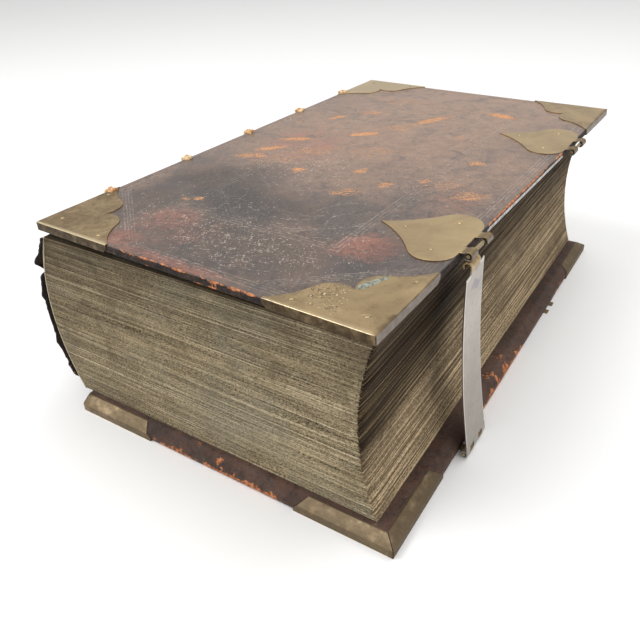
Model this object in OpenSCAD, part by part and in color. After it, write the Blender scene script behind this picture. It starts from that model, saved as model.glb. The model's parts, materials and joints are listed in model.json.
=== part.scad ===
// Antique folio bible in leather over bevelled wooden boards, with brass corner pieces and one
// surviving hooked clasp. It lies on its back cover: +X runs from the spine to the fore-edge,
// +Y from tail to head. The origin is the middle of its outline on the surface that it lies on.

/* [Book] */
// Width of a cover over its brass, spine edge to fore-edge
cover_w = 270; // [230:1:330]
// Length of a cover over its brass, tail to head
cover_l = 445; // [365:1:540]
// Thickness of the closed book over its brass
book_h = 153.5; // [120:0.5:190]

/* [Covers] */
// Thickness of a leather-covered board
board_t = 10; // [8:0.5:14]
// Upright part of a board's edge, below its bevel
edge_h = 5; // [3:0.5:7]
// Width of the bevel along the inner edges
bevel_w = 7.5; // [5:0.5:10]
// Thickness of the covering leather
leather_t = 0.9; // [0.5:0.1:1.5]
// Width of the leather turned in on a board's inner face
turn_in = 18; // [12:1:30]
// Thickness of the paper pasted inside a board
pastedown_t = 0.4; // [0.2:0.1:0.8]
// Angle by which the front cover has worked round on the pages
front_twist = -1.55; // [-2:0.05:0]
// How far the front cover has slipped towards the spine
front_slip_x = 6; // [0:0.5:8]
// How far the front cover has slipped towards the head
front_slip_y = 6.7; // [0:0.1:9]

/* [Pages] */
// Gap from the back cover's fore-edge to the pages
fore_square = 16; // [13:0.5:22]
// How far the text block's shoulder stands out past the back board
shoulder = 6; // [2:0.5:10]
// Gap from the back board's tail edge to the pages
tail_square = 10.5; // [9:0.5:14]
// Gap from the back board's head edge to the pages
head_square = 7.5; // [6:0.5:14]
// How far the spine is rounded
spine_round = 15; // [8:0.5:22]
// How far the fore-edge is hollowed
fore_hollow = 11; // [6:0.5:16]
// Flat lip at the top and bottom of the fore-edge
fore_lip = 1.5; // [0.5:0.5:4]

/* [Spine] */
// Thickness of the paper lining glued to the spine
lining_t = 0.6; // [0.4:0.1:1]
// Thickness of the leather on the spine
spine_leather_t = 1.2; // [0.8:0.1:2]
// Radius of a sewing cord
cord_r = 2.6; // [2:0.1:3.5]
// Tail-most cord, from the cover's tail edge
tail_panel = 63; // [50:1:90]
// Head-most cord, from the cover's head edge
head_panel = 62; // [45:1:90]
// Radius of the worn cord ends at the front joint
stub_r = 2.8; // [1.5:0.1:3.5]
// How far the cord ends stand above the front board
stub_rise = 3.4; // [1:0.1:5]

/* [Brass] */
// Thickness of the sheet brass
brass_t = 0.75; // [0.5:0.05:1.2]
// Length of a corner piece along each edge
corner_leg = 72; // [55:1:88]
// Radius of a corner piece's two lobes
lobe_r = 15.5; // [12:0.5:18]
// Radius of the hollow from each lobe to its leg's end
corner_hollow_r = 45; // [35:1:90]
// Width of a corner piece at the ends of its legs
leg_tip = 2; // [1:0.5:4]
// How far the bevel flange is cut back from a corner piece's end
flange_cut = 8; // [3:0.5:15]
// Width of the open mitre in a folded corner
mitre_gap = 0.5; // [0.3:0.1:1]
// Radius of a brass nail's shank
nail_r = 0.8; // [0.5:0.1:1]
// Radius of a brass nail's head
nail_head_r = 1.4; // [1.2:0.1:2]
// How far a nail reaches past the brass
nail_l = 6; // [3:0.5:7]
// How far the front cover's nail heads stand proud
nail_proud = 0.4; // [0:0.1:0.8]

/* [Clasps] */
// Length of a leaf plate, board edge to tip
leaf_l = 64.5; // [50:0.5:75]
// Half the width of a leaf plate
leaf_half = 35; // [32:0.5:42]
// Radius of a leaf plate's round lobes
leaf_lobe_r = 16; // [14:0.5:20]
// Radius of the hollow beside a leaf plate's tip
leaf_hollow_r = 90; // [60:1:140]
// Outer radius of the rolled barrels
barrel_r = 3; // [2.5:0.1:4]
// Radius of the clasp pins
pin_r = 1.3; // [1:0.1:1.6]
// How far the barrels' axis stands out past the cover's brass edge
barrel_out = 4.5; // [4:0.1:7]
// Clearance round a pin that turns, on the radius
pin_play = 0.05; // [0.02:0.01:0.1]
// Depth of the catch barrels' axis below the front plates' outer face
catch_depth = 1.9; // [1.5:0.1:3]
// Length of each of a catch's two barrels
catch_barrel_l = 8.8; // [7:0.1:14]
// Gap between a catch's barrels, where the hook goes
catch_gap = 15; // [10:0.1:20]
// Gap from the tail corner piece to the near catch's leaf plate
catch_near_gap = 9.5; // [1:0.5:20]
// Gap from the head corner piece to the far catch's leaf plate
catch_far_gap = 11; // [1:0.5:20]
// Gap from the tail corner piece to the near hinge's leaf plate
hinge_near_gap = 5; // [1:0.5:20]
// Gap from the head corner piece to the far hinge's leaf plate, whose strap and barrels are lost
hinge_far_gap = 26; // [1:0.5:34]
// How far that plate's torn tabs stand out past the cover's brass edge
torn_tab = 2.2; // [1:0.1:4]

/* [Strap] */
// Width of the strap at its foot
strap_w = 33; // [28:0.1:40]
// Width of the strap at its top
strap_top_w = 28; // [20:0.5:32]
// Thickness of the strap
strap_t = 1.2; // [0.8:0.1:1.6]
// How far the loose hook stays below its catch
hook_drop = 1.7; // [1:0.1:6]
// How far the strap bows in between its hinge and its hook
strap_bow = 3; // [1:0.5:4]
// How much lower the strap's top edge is on its tail side
strap_slant = 5; // [1:0.5:8]
// Length of the narrow tongue below the hook
tongue_l = 1; // [0.5:0.5:4]
// Length of the strap's middle knuckle
mid_knuckle = 8; // [6:0.5:12]
// Length of each of the hinge plate's knuckles
plate_knuckle = 6.3; // [5:0.1:8]
// Gap from knuckle to knuckle
knuckle_gap = 0.25; // [0.15:0.05:0.5]
// Outer radius of the hook
hook_r = 3.2; // [2.8:0.1:4]
// Clearance on each side of the hook in its catch
hook_play = 0.3; // [0.2:0.1:1]
// How far round the hook is curled
hook_turn = 215; // [190:5:235]
// Angle at which the loose strap leans in
strap_lean = 4; // [0:0.5:4]

/* [Hidden] */
$fn = 96;

// Small overlap that keeps cutting faces off the faces they cut
eps = 0.01;
// Gap between the pages and the covers, which turn on them
page_gap = 0.05;
cord_count = 5;

// Covers, in a space whose floor is the brass plates' outer face
bevel_h = board_t - edge_h;
bevel_run = sqrt(bevel_w * bevel_w + bevel_h * bevel_h);
inner_z = brass_t + board_t;
leather_w = cover_w - 2 * brass_t;
leather_l = cover_l - 2 * brass_t;
hinge_line_x = -leather_w / 2;

// Corner outline: lobes on each side of the diagonal, and hollows that run out along the legs
lobe_rim = 3.5;
lobe_setback = 32;
// How far arcs that would only touch are moved, so that they cross
arc_overlap = 0.1;
lobe_near = lobe_r + lobe_rim;
lobe_far = corner_leg - lobe_setback;
nail_edge = 7.5;
nail_corner = 13;
nail_setback = 15;
nail_leg = corner_leg - nail_setback;
// Bare strip along the spine edge, where a corner piece stops short
spine_margin = 2;

// Leaf outline, measured inwards from the brass edge
leaf_edge = 1.2;
leaf_lobe_y = leaf_half - leaf_lobe_r;
leaf_lobe_x = leaf_edge + leaf_lobe_r;
leaf_tip_setback = 18;
leaf_tip_nail = leaf_l - leaf_tip_setback;
leaf_lobe_nail = [leaf_lobe_x + 1, leaf_lobe_y + 2];
leaf_nail_spots = [leaf_lobe_nail, [leaf_lobe_nail.x, -leaf_lobe_nail.y], [leaf_tip_nail, 0]];

// Clasps: places along a cover, as Y in the cover's own space, from the corner pieces inwards
plate_reach = cover_l / 2 - corner_leg - leaf_half;
hinge_near_y = hinge_near_gap - plate_reach;
hinge_far_y = plate_reach - hinge_far_gap;
catch_near_y = catch_near_gap - plate_reach;
catch_far_y = plate_reach - catch_far_gap;
hinge_places = [hinge_near_y, hinge_far_y];
catch_places = [catch_near_y, catch_far_y];
barrel_x = cover_w / 2 + barrel_out;
catch_half = catch_gap / 2 + catch_barrel_l;
hinge_depth = barrel_r;
plate_knuckle_y = mid_knuckle / 2 + knuckle_gap;
end_knuckle_y = plate_knuckle_y + plate_knuckle + knuckle_gap;

// Strap, along its own length from the hinge pin
hook_top = book_h - catch_depth - barrel_r - hook_drop;
strap_reach = (hook_top - hook_r - hinge_depth) / cos(strap_lean);
strap_shoulder = strap_reach - tongue_l;
strap_foot = barrel_r + 2 * knuckle_gap;
// How far the tongue reaches into the hook
tongue_lap = 0.3;
hook_w = catch_gap - 2 * hook_play;

// Pages
block_z0 = inner_z + page_gap;
block_z1 = book_h - inner_z - page_gap;
block_w = cover_w + shoulder - fore_square;
block_mid_z = (block_z0 + block_z1) / 2;
block_half_h = (block_z1 - block_z0) / 2;
block_y0 = -cover_l / 2 + tail_square;
block_y1 = cover_l / 2 - head_square;
shoulder_x = -cover_w / 2 - shoulder;
fore_x = cover_w / 2 - fore_square;
spine_r = arc_radius(block_half_h, spine_round);
spine_centre_x = shoulder_x - spine_round + spine_r;
hollow_arc_r = arc_radius(block_half_h - fore_lip, fore_hollow);

// Spine
lining_r = spine_r + lining_t;
spine_out_r = lining_r + spine_leather_t;
cord_path_r = lining_r + cord_r;
band_r = cord_r + spine_leather_t;
cord_pitch = (cover_l - tail_panel - head_panel) / (cord_count - 1);
joint_gap = 0.5;
cord_foot = 6;
cord_stop = 2;
cord_z0 = block_z0 + cord_foot;
cord_z1 = block_z1 - cord_stop;
leather_foot = 2;
leather_z0 = block_z0 - leather_foot;
leather_z1 = block_z1 - joint_gap;
tail_cap = 3;
head_cap = 2;
leather_tail_y = block_y0 - tail_cap;
leather_head_y = block_y1 + head_cap;
flap_l = 32;
tear_z = block_z1 - flap_l;
tear_h = 26;
tear_depth = 22;
tear_wander = 2;

// Middle of the whole outline, which becomes the origin
outline_x0 = spine_centre_x - cord_path_r - band_r;
outline_x1 = barrel_x + barrel_r;
outline_y0 = -cover_l / 2;
outline_y1 = front_slip_y + (cover_l * cos(front_twist) - cover_w * sin(front_twist)) / 2;
middle = [(outline_x0 + outline_x1) / 2, (outline_y0 + outline_y1) / 2, 0];

// Radius of an arc with this half chord and this rise
function arc_radius(half_chord, rise) = (half_chord * half_chord + rise * rise) / (2 * rise);

// Where a bevel moved out by g meets the wall moved out by g
function wall_top(g) =
    edge_h + g * (bevel_w / bevel_run - (1 - bevel_h / bevel_run) * bevel_h / bevel_w);

// How far in from the grown wall the moved bevel meets the moved inner face
function bevel_in(g) =
    bevel_w + g - g * (bevel_h / bevel_run - (1 - bevel_w / bevel_run) * bevel_w / bevel_h);

// Height of the middle of cord number i, counted from the tail
function cord_y(i) = -cover_l / 2 + tail_panel + i * cord_pitch;

// The point of two circles' crossing that lies to the left of the way from a to b
function circles_meet(a, ra, b, rb) =
    let (way = b - a, d = norm(way), along = (d * d + ra * ra - rb * rb) / (2 * d))
    let (side = sqrt(ra * ra - along * along))
    a + (along * way + side * [-way.y, way.x]) / d;

module back_cover() {
    translate(-middle) children();
}

module front_cover() {
    translate(-middle) translate([-front_slip_x, front_slip_y, book_h]) rotate(front_twist)
        mirror([0, 0, 1]) children();
}

module pages() {
    translate(-middle) children();
}

// Draws a section of the book, given in X and Z, from one Y to another
module along_y(y0, y1) {
    translate([0, y1, 0]) rotate([90, 0, 0]) linear_extrude(y1 - y0) children();
}

// A covered board, bevelled inside on three edges and square at the spine, moved out by g
module board_form(g) {
    half_w = leather_w / 2 + g;
    half_l = leather_l / 2 + g;
    top = board_t + g;
    translate([0, 0, brass_t]) intersection() {
        along_y(-half_l, half_l)
            polygon([
                [-half_w, -g], [half_w, -g], [half_w, wall_top(g)],
                [half_w - bevel_in(g), top], [-half_w, top]
            ]);
        rotate([90, 0, 90]) translate([0, 0, -half_w]) linear_extrude(2 * half_w)
            polygon([
                [-half_l, -g], [half_l, -g], [half_l, wall_top(g)],
                [half_l - bevel_in(g), top], [-half_l + bevel_in(g), top], [-half_l, wall_top(g)]
            ]);
    }
}

module pastedown_window(height) {
    size = [leather_w - 2 * turn_in, leather_l - 2 * turn_in];
    translate([0, 0, inner_z - leather_t]) linear_extrude(height) square(size, center = true);
}

// A wooden board, drilled for its corner nails and for the leaf plates at the given places
module board_core(plates) {
    difference() {
        board_form(-leather_t);
        corner_nails(0);
        leaf_nails(plates, 0);
    }
}

// The leather round a board: a shell with a window where the turned-in edges stop
module board_leather(plates) {
    difference() {
        board_form(0);
        board_form(-leather_t);
        pastedown_window(leather_t + eps);
        corner_nails(0);
        leaf_nails(plates, 0);
    }
}

// A brass nail from the plates' outer face inwards
module nail(proud) {
    rotate_extrude()
        polygon([
            [0, -proud], [nail_head_r / 2, -proud], [nail_head_r, 0], [nail_head_r, brass_t],
            [nail_r, brass_t], [nail_r, brass_t + nail_l - nail_r], [0, brass_t + nail_l]
        ]);
}

// Moves a corner drawn at the origin, legs along +X and +Y, to one corner of the cover
module to_corner(sx, sy) {
    translate([sx * cover_w / 2, sy * cover_l / 2, 0])
        mirror([sx > 0 ? 1 : 0, 0, 0]) mirror([0, sy > 0 ? 1 : 0, 0]) children();
}

module corner_nails(proud) {
    for (sx = [-1, 1], sy = [-1, 1])
        to_corner(sx, sy)
            for (p = [[nail_corner, nail_corner], [nail_leg, nail_edge], [nail_edge, nail_leg]])
                translate(p) nail(proud);
}

module leaf_nails(places, proud) {
    for (y = places)
        translate([cover_w / 2, y, 0])
            for (p = leaf_nail_spots)
                translate([-p.x, p.y, 0]) nail(proud);
}

// The brass corner's outline on the cover's face
module corner_outline() {
    lobe = [lobe_far, lobe_near];
    tip = [corner_leg, leg_tip];
    hollow = circles_meet(lobe, corner_hollow_r + lobe_r - arc_overlap, tip, corner_hollow_r);
    half = [[corner_leg, 0], tip + [0, lobe_rim], hollow, lobe];
    difference() {
        union() {
            polygon([[0, 0], each half, for (i = [len(half) - 1 : -1 : 0]) [half[i].y, half[i].x]]);
            translate(lobe) circle(lobe_r);
            translate([lobe.y, lobe.x]) circle(lobe_r);
        }
        translate(hollow) circle(corner_hollow_r);
        translate([hollow.y, hollow.x]) circle(corner_hollow_r);
    }
}

// The stretch along one edge where a corner piece has a wall and a bevel flange
module flange_stretch() {
    wall_low = brass_t + edge_h / 4;
    wall_mid = brass_t + edge_h / 2;
    flange = brass_t + bevel_w;
    cube([corner_leg, brass_t + eps, wall_mid]);
    translate([0, flange, 0]) rotate([90, 0, 0]) linear_extrude(flange)
        polygon([
            [0, wall_low], [corner_leg, wall_low], [corner_leg, wall_mid],
            [corner_leg - flange_cut, inner_z], [0, inner_z]
        ]);
}

// A corner piece folded from sheet brass over the board: face plate, walls and bevel flanges
module corner_piece(sx, sy) {
    difference() {
        intersection() {
            difference() {
                board_form(brass_t);
                board_form(0);
            }
            to_corner(sx, sy) difference() {
                union() {
                    linear_extrude(brass_t) corner_outline();
                    flange_stretch();
                    if (sx > 0) mirror([1, -1, 0]) flange_stretch();
                }
                if (sx < 0)
                    translate([-eps, -eps, -eps])
                        cube([spine_margin, corner_leg + 2 * eps, inner_z + 2 * eps]);
                if (sx > 0)
                    translate([0, 0, brass_t]) rotate(45) translate([-eps, -mitre_gap / 2, 0])
                        cube([2 * bevel_w, mitre_gap, inner_z]);
            }
        }
        corner_nails(0);
    }
}

// The clasp plates' heart-shaped leaf, its tip towards -X and X = 0 on the cover's brass edge
module leaf_outline() {
    tip = [leaf_l, 0];
    lobe = [leaf_lobe_x, leaf_lobe_y];
    hollow = circles_meet(lobe, leaf_hollow_r + leaf_lobe_r, tip, leaf_hollow_r);
    touch = lobe + (hollow - lobe) * leaf_lobe_r / norm(hollow - lobe);
    mirror([1, 0]) for (side = [0, 1])
        mirror([0, side]) difference() {
            union() {
                translate(lobe) circle(leaf_lobe_r);
                polygon([tip, hollow, touch, lobe, [leaf_edge, leaf_lobe_y], [leaf_edge, 0]]);
            }
            translate(hollow) circle(leaf_hollow_r);
            translate([0, -leaf_half]) square([leaf_l + eps, leaf_half]);
        }
}

// A leaf plate with barrels rolled from tabs on its edge, each given as the Y where it starts and ends.
// Torn tabs have lost their barrels
module leaf_plate(y, depth, barrels, torn = false) {
    tab_out = torn ? torn_tab : barrel_out;
    difference() {
        translate([cover_w / 2, y, 0]) {
            linear_extrude(brass_t) union() {
                translate([0, eps]) leaf_outline();
                translate([0, -eps]) leaf_outline();
                for (b = barrels)
                    translate([-leaf_lobe_x, b[0]]) square([leaf_lobe_x + tab_out, b[1] - b[0]]);
            }
            if (!torn)
                for (b = barrels)
                    translate([barrel_out, 0, depth]) along_y(b[0], b[1]) circle(barrel_r);
        }
        if (!torn) translate([barrel_x, y, depth]) along_y(-leaf_half, leaf_half) circle(pin_r);
        leaf_nails([y], 0);
    }
}

function catch_barrels() = [[-catch_half, -catch_gap / 2], [catch_gap / 2, catch_half]];
function hinge_barrels() = [
    [-plate_knuckle_y - plate_knuckle, -plate_knuckle_y],
    [plate_knuckle_y, plate_knuckle_y + plate_knuckle]
];

module clasp_pin(y, depth, half_l) {
    translate([barrel_x, y, depth]) along_y(-half_l, half_l) circle(pin_r);
}

// A ring sector of the rounded spine, between two heights
module spine_sector(r0, r1, z0, z1) {
    intersection() {
        translate([spine_centre_x, block_mid_z]) difference() {
            circle(r1, $fn = 240);
            circle(r0, $fn = 240);
        }
        translate([spine_centre_x - 2 * spine_r, z0]) square([2 * spine_r, z1 - z0]);
    }
}

// A round rod that follows the spine's curve between two heights
module spine_rod(y, r, z0, z1) {
    intersection() {
        translate([spine_centre_x, y, block_mid_z]) rotate([90, 0, 0])
            rotate_extrude($fn = 240) translate([cord_path_r, 0]) circle(r, $fn = 48);
        translate([spine_centre_x - 2 * spine_r, y - 2 * r, z0]) cube([2 * spine_r, 4 * r, z1 - z0]);
    }
}

// The tear at the spine's tail, in Y and Z: a bite under the loose flap at the front joint
module spine_tear() {
    outside = leather_tail_y - tear_depth;
    polygon([
        [outside, 0], [leather_tail_y, 0], [leather_tail_y + tear_wander, block_mid_z - tear_h],
        [leather_tail_y, block_mid_z], [leather_tail_y + tear_wander, tear_z - tear_h / 2],
        [leather_tail_y + tear_depth, tear_z], [leather_tail_y + tear_wander, tear_z + tear_h / 2],
        [leather_tail_y, tear_z + tear_h / 3], [leather_tail_y + tear_wander, book_h], [outside, book_h]
    ]);
}

// The leather of the back joint, from the spine's leather down to the back board's hinge line
module back_joint_section() {
    half_h = block_mid_z - leather_z0;
    inner_x = spine_centre_x - sqrt(lining_r * lining_r - half_h * half_h);
    outer_x = spine_centre_x - sqrt(spine_out_r * spine_out_r - half_h * half_h);
    hinge_x = hinge_line_x - joint_gap;
    polygon([
        [outer_x, leather_z0 + eps], [inner_x, leather_z0 + eps],
        [hinge_x, brass_t + spine_leather_t], [hinge_x, brass_t]
    ]);
}

module lower_board() {
    color("saddlebrown") back_cover() board_core(hinge_places);
}

module lower_leather() {
    color("#43302a") back_cover() board_leather(hinge_places);
}

module lower_pastedown() {
    color("#b9a98a") back_cover() pastedown_window(pastedown_t);
}

module lower_corner(sx, sy) {
    color("#93825f") back_cover() corner_piece(sx, sy);
}

module lower_corner_nails() {
    color("#a08c64") back_cover() corner_nails(0);
}

module hinge_plate(y, torn = false) {
    color("#93825f") back_cover() leaf_plate(y, hinge_depth, hinge_barrels(), torn);
}

module hinge_plate_nails() {
    color("#a08c64") back_cover() leaf_nails(hinge_places, 0);
}

module hinge_pin(y) {
    color("#8a7a58") back_cover() clasp_pin(y, hinge_depth, strap_w / 2);
}

// The pages as one solid, rounded at the spine and hollowed at the fore-edge
module text_block() {
    color("#8c8268") pages() along_y(block_y0, block_y1) difference() {
        intersection() {
            translate([shoulder_x - 2 * spine_round, block_z0])
                square([2 * spine_round + block_w, 2 * block_half_h]);
            union() {
                translate([spine_centre_x, block_mid_z]) circle(spine_r, $fn = 240);
                translate([spine_centre_x, block_z0]) square([block_w, 2 * block_half_h]);
            }
        }
        translate([fore_x - fore_hollow + hollow_arc_r, block_mid_z]) circle(hollow_arc_r, $fn = 240);
    }
}

module spine_lining() {
    color("#c7bfa6") pages() along_y(block_y0, block_y1)
        spine_sector(spine_r, lining_r, block_z0, block_z1);
}

// The spine's leather, raised over the cords and torn at the tail
module spine_leather() {
    color("#3b2c28") pages() difference() {
        union() {
            along_y(leather_tail_y, leather_head_y)
                union() {
                    spine_sector(lining_r, spine_out_r, leather_z0, leather_z1);
                    back_joint_section();
                }
            for (i = [0 : cord_count - 1])
                difference() {
                    spine_rod(cord_y(i), band_r, cord_z0, cord_z1);
                    along_y(block_y0, block_y1)
                        translate([spine_centre_x, block_mid_z]) circle(lining_r, $fn = 240);
                }
        }
        for (i = [0 : cord_count - 1])
            spine_rod(cord_y(i), cord_r, 0, book_h);
        rotate([90, 0, 90]) translate([0, 0, -2 * spine_r]) linear_extrude(2 * spine_r) spine_tear();
    }
}

module sewing_cord(i) {
    color("#c9b48c") pages() spine_rod(cord_y(i), cord_r, cord_z0, cord_z1);
}

module upper_board() {
    color("saddlebrown") front_cover() board_core(catch_places);
}

module upper_leather() {
    color("#4a3630") front_cover() board_leather(catch_places);
}

module upper_pastedown() {
    color("#b9a98a") front_cover() pastedown_window(pastedown_t);
}

module upper_corner(sx, sy) {
    color("#a8946a") front_cover() corner_piece(sx, sy);
}

module upper_corner_nails() {
    color("#b59f72") front_cover() corner_nails(nail_proud);
}

module catch_plate(y) {
    color("#b09c74") front_cover() leaf_plate(y, catch_depth, catch_barrels());
}

module catch_plate_nails() {
    color("#b59f72") front_cover() leaf_nails(catch_places, nail_proud);
}

module catch_pin(y) {
    color("#a09a8c") front_cover() clasp_pin(y, catch_depth, catch_half);
}

// Ends of the cords, which bend at the front joint and stand up at the board's spine edge
module cord_ends() {
    stub_l = edge_h + stub_rise - stub_r;
    color("#c99a62") front_cover() for (i = [0 : cord_count - 1])
        translate([hinge_line_x - stub_r, cord_y(i), brass_t - stub_rise + stub_r]) {
            sphere(stub_r);
            cylinder(r = stub_r, h = stub_l);
        }
}

// One knuckle rolled from the strap's foot
module strap_knuckle(y0, y1) {
    along_y(y0, y1) difference() {
        union() {
            circle(barrel_r);
            translate([barrel_r - strap_t, 0]) square([strap_t, barrel_r + 2 * strap_t]);
        }
        circle(pin_r + pin_play);
    }
}

// The strap in its own space: the hinge pin lies along Y at the origin
module strap_form() {
    half = (strap_reach - strap_foot) / 2;
    bow_r = arc_radius(half, strap_bow);
    depth = strap_bow + 2 * strap_t;
    intersection() {
        along_y(-strap_w / 2, strap_w / 2)
            translate([barrel_r - arc_overlap - strap_bow + bow_r, strap_foot + half]) difference() {
                circle(bow_r + strap_t, $fn = 240);
                circle(bow_r, $fn = 240);
            }
        translate([barrel_r - depth, 0, 0]) rotate([90, 0, 90]) linear_extrude(depth + strap_t) union() {
            polygon([
                [-strap_w / 2, strap_foot], [strap_w / 2, strap_foot],
                [strap_top_w / 2, strap_shoulder], [-strap_top_w / 2, strap_shoulder - strap_slant]
            ]);
            translate([-hook_w / 2, strap_shoulder - strap_slant])
                square([hook_w, tongue_l + strap_slant + tongue_lap]);
        }
    }
    along_y(-hook_w / 2, hook_w / 2) translate([barrel_r - hook_r, strap_reach]) difference() {
        circle(hook_r);
        circle(hook_r - strap_t);
        polygon([
            [0, 0], [2 * hook_r * cos(hook_turn), 2 * hook_r * sin(hook_turn)],
            [-2 * hook_r, -2 * hook_r], [2 * hook_r, -2 * hook_r], [2 * hook_r, 0]
        ]);
    }
    strap_knuckle(-mid_knuckle / 2, mid_knuckle / 2);
    for (side = [0, 1])
        mirror([0, side, 0]) strap_knuckle(end_knuckle_y, strap_w / 2);
}

module clasp_strap() {
    color("#b9b6ae") back_cover()
        translate([barrel_x, hinge_near_y, hinge_depth]) rotate([0, -strap_lean, 0])
            strap_form();
}

lower_board();
lower_leather();
lower_pastedown();
lower_corner(1, -1);  // lower_corner_tail_fore
lower_corner(1, 1);  // lower_corner_head_fore
lower_corner(-1, -1);  // lower_corner_tail_spine
lower_corner(-1, 1);  // lower_corner_head_spine
lower_corner_nails();
hinge_plate(hinge_near_y);  // hinge_plate_near
hinge_plate(hinge_far_y, torn = true);  // hinge_plate_far
hinge_plate_nails();
hinge_pin(hinge_near_y);  // hinge_pin_near
text_block();
spine_lining();
spine_leather();
sewing_cord(0);  // sewing_cord_1
sewing_cord(1);  // sewing_cord_2
sewing_cord(2);  // sewing_cord_3
sewing_cord(3);  // sewing_cord_4
sewing_cord(4);  // sewing_cord_5
upper_board();
upper_leather();
upper_pastedown();
upper_corner(1, -1);  // upper_corner_tail_fore
upper_corner(1, 1);  // upper_corner_head_fore
upper_corner(-1, -1);  // upper_corner_tail_spine
upper_corner(-1, 1);  // upper_corner_head_spine
upper_corner_nails();
catch_plate(catch_near_y);  // catch_plate_near
catch_plate(catch_far_y);  // catch_plate_far
catch_plate_nails();
catch_pin(catch_near_y);  // catch_pin_near
catch_pin(catch_far_y);  // catch_pin_far
cord_ends();
clasp_strap();
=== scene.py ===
"""The antique bible: worn calf over boards, a browned text block, brass furniture and one loose strap."""
import json
import math
from functools import reduce

import bmesh
import bpy
import numpy as np
from mathutils import Matrix, Vector
from mathutils.kdtree import KDTree


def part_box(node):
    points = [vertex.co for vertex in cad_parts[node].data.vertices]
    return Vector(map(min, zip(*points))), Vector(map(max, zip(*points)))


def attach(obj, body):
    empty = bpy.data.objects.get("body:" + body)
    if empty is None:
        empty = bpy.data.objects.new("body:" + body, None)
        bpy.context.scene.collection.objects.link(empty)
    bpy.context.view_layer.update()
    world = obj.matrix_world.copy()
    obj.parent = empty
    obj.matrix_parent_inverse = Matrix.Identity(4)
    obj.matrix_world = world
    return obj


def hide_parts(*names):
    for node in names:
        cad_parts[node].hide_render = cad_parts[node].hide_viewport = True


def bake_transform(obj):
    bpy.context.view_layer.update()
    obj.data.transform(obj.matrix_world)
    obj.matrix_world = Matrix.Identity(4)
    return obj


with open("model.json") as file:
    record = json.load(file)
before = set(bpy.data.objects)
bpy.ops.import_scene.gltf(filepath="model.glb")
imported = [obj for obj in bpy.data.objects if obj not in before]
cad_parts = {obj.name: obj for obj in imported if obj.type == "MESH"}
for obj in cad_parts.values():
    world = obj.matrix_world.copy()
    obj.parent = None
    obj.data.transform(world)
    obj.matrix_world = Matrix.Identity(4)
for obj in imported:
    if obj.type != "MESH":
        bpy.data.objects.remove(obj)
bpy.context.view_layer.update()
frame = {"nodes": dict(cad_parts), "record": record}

MM = 0.001

# Sizes of the CAD model, in millimetres, in its covers' own space: x from spine to fore-edge and y from
# tail to head, both from the cover's middle, and z inwards from the brass plates' outer face
COVER_W, COVER_L, BOOK_H = 270.0, 445.0, 153.5
BRASS_T, BOARD_T, EDGE_H, BEVEL_W, LEATHER_T, TURN_IN = 0.75, 10.0, 5.0, 7.5, 0.9, 18.0
HALF_W, HALF_L = COVER_W / 2 - BRASS_T, COVER_L / 2 - BRASS_T
TWIST, SLIP_X, SLIP_Y = math.radians(-1.55), 6.0, 6.7
MIDDLE = np.array([-10.25, 5.135, 0.0])
SHOULDER_X, SPINE_ROUND, FORE_X, FORE_HOLLOW, FORE_LIP = -141.0, 15.0, 119.0, 11.0, 1.5
BLOCK_Y0, BLOCK_Y1, BLOCK_Z0, BLOCK_Z1 = -212.0, 215.0, 10.8, 142.7
BLOCK_MID_Z, BLOCK_HALF_H = (BLOCK_Z0 + BLOCK_Z1) / 2, (BLOCK_Z1 - BLOCK_Z0) / 2
LINING_T, SPINE_LEATHER_T, CORD_R = 0.6, 1.2, 2.6
CORD_Y = [-159.5 + 80.0 * i for i in range(5)]


def arc_radius(half_chord, rise):
    return (half_chord ** 2 + rise ** 2) / (2 * rise)


SPINE_R = arc_radius(BLOCK_HALF_H, SPINE_ROUND)
SPINE_CX = SHOULDER_X - SPINE_ROUND + SPINE_R
HOLLOW_R = arc_radius(BLOCK_HALF_H - FORE_LIP, FORE_HOLLOW)
HOLLOW_CX = FORE_X - FORE_HOLLOW + HOLLOW_R


def turned(x, y, angle):
    c, s = math.cos(angle), math.sin(angle)
    return x * c - y * s, x * s + y * c


def xyz(x, y, z):
    """Points, one a row, from coordinates as arrays or single numbers that fit each other's shapes."""
    return np.stack(np.broadcast_arrays(x, y, z), -1).reshape(-1, 3)


def book(p):
    """Points of the book's own space, in millimetres, as metres in the shared frame."""
    return (np.asarray(p, float) - MIDDLE) * MM


def front(p):
    """Points of the front cover's own space as metres in the shared frame."""
    x, y = turned(p[:, 0], p[:, 1], TWIST)
    return book(xyz(x - SLIP_X, y + SLIP_Y, BOOK_H - p[:, 2]))


def cover_space(p, upper):
    """Points in metres of the shared frame as millimetres in a cover's own space."""
    q = p / MM + MIDDLE
    if not upper:
        return q
    x, y = turned(q[:, 0] + SLIP_X, q[:, 1] - SLIP_Y, -TWIST)
    return xyz(x, y, BOOK_H - q[:, 2])


# ---- noise and mesh helpers

HASH_XYZ = np.array([374761393, 668265263, 1442695041])
HASH_SEED, HASH_MIX, HASH_TOP = 97561, 1274126177, 0xFFFF
THREE_OCTAVES = 1.75


def lattice(p, cell, seed):
    """Smooth value noise from -1 to 1 on points in millimetres."""
    q = np.asarray(p, float) / cell
    i = np.floor(q).astype(np.int64)
    f = q - i
    f = f * f * (3 - 2 * f)
    total = 0.0
    for corner in np.ndindex(2, 2, 2):
        n = ((i + corner) * HASH_XYZ).sum(axis=1) + seed * HASH_SEED
        n = (n ^ (n >> 13)) * HASH_MIX
        n = n ^ (n >> 16)
        weight = np.where(corner, f, 1 - f).prod(axis=1)
        total = total + ((n & HASH_TOP) / (HASH_TOP / 2) - 1) * weight
    return total


def fractal(p, cell, seed, octaves=3):
    """Sum of noises, each of half the size and half the weight of the one before."""
    return sum(0.5 ** k * lattice(p, cell / 2 ** k, seed + k) for k in range(octaves)) / THREE_OCTAVES


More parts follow.
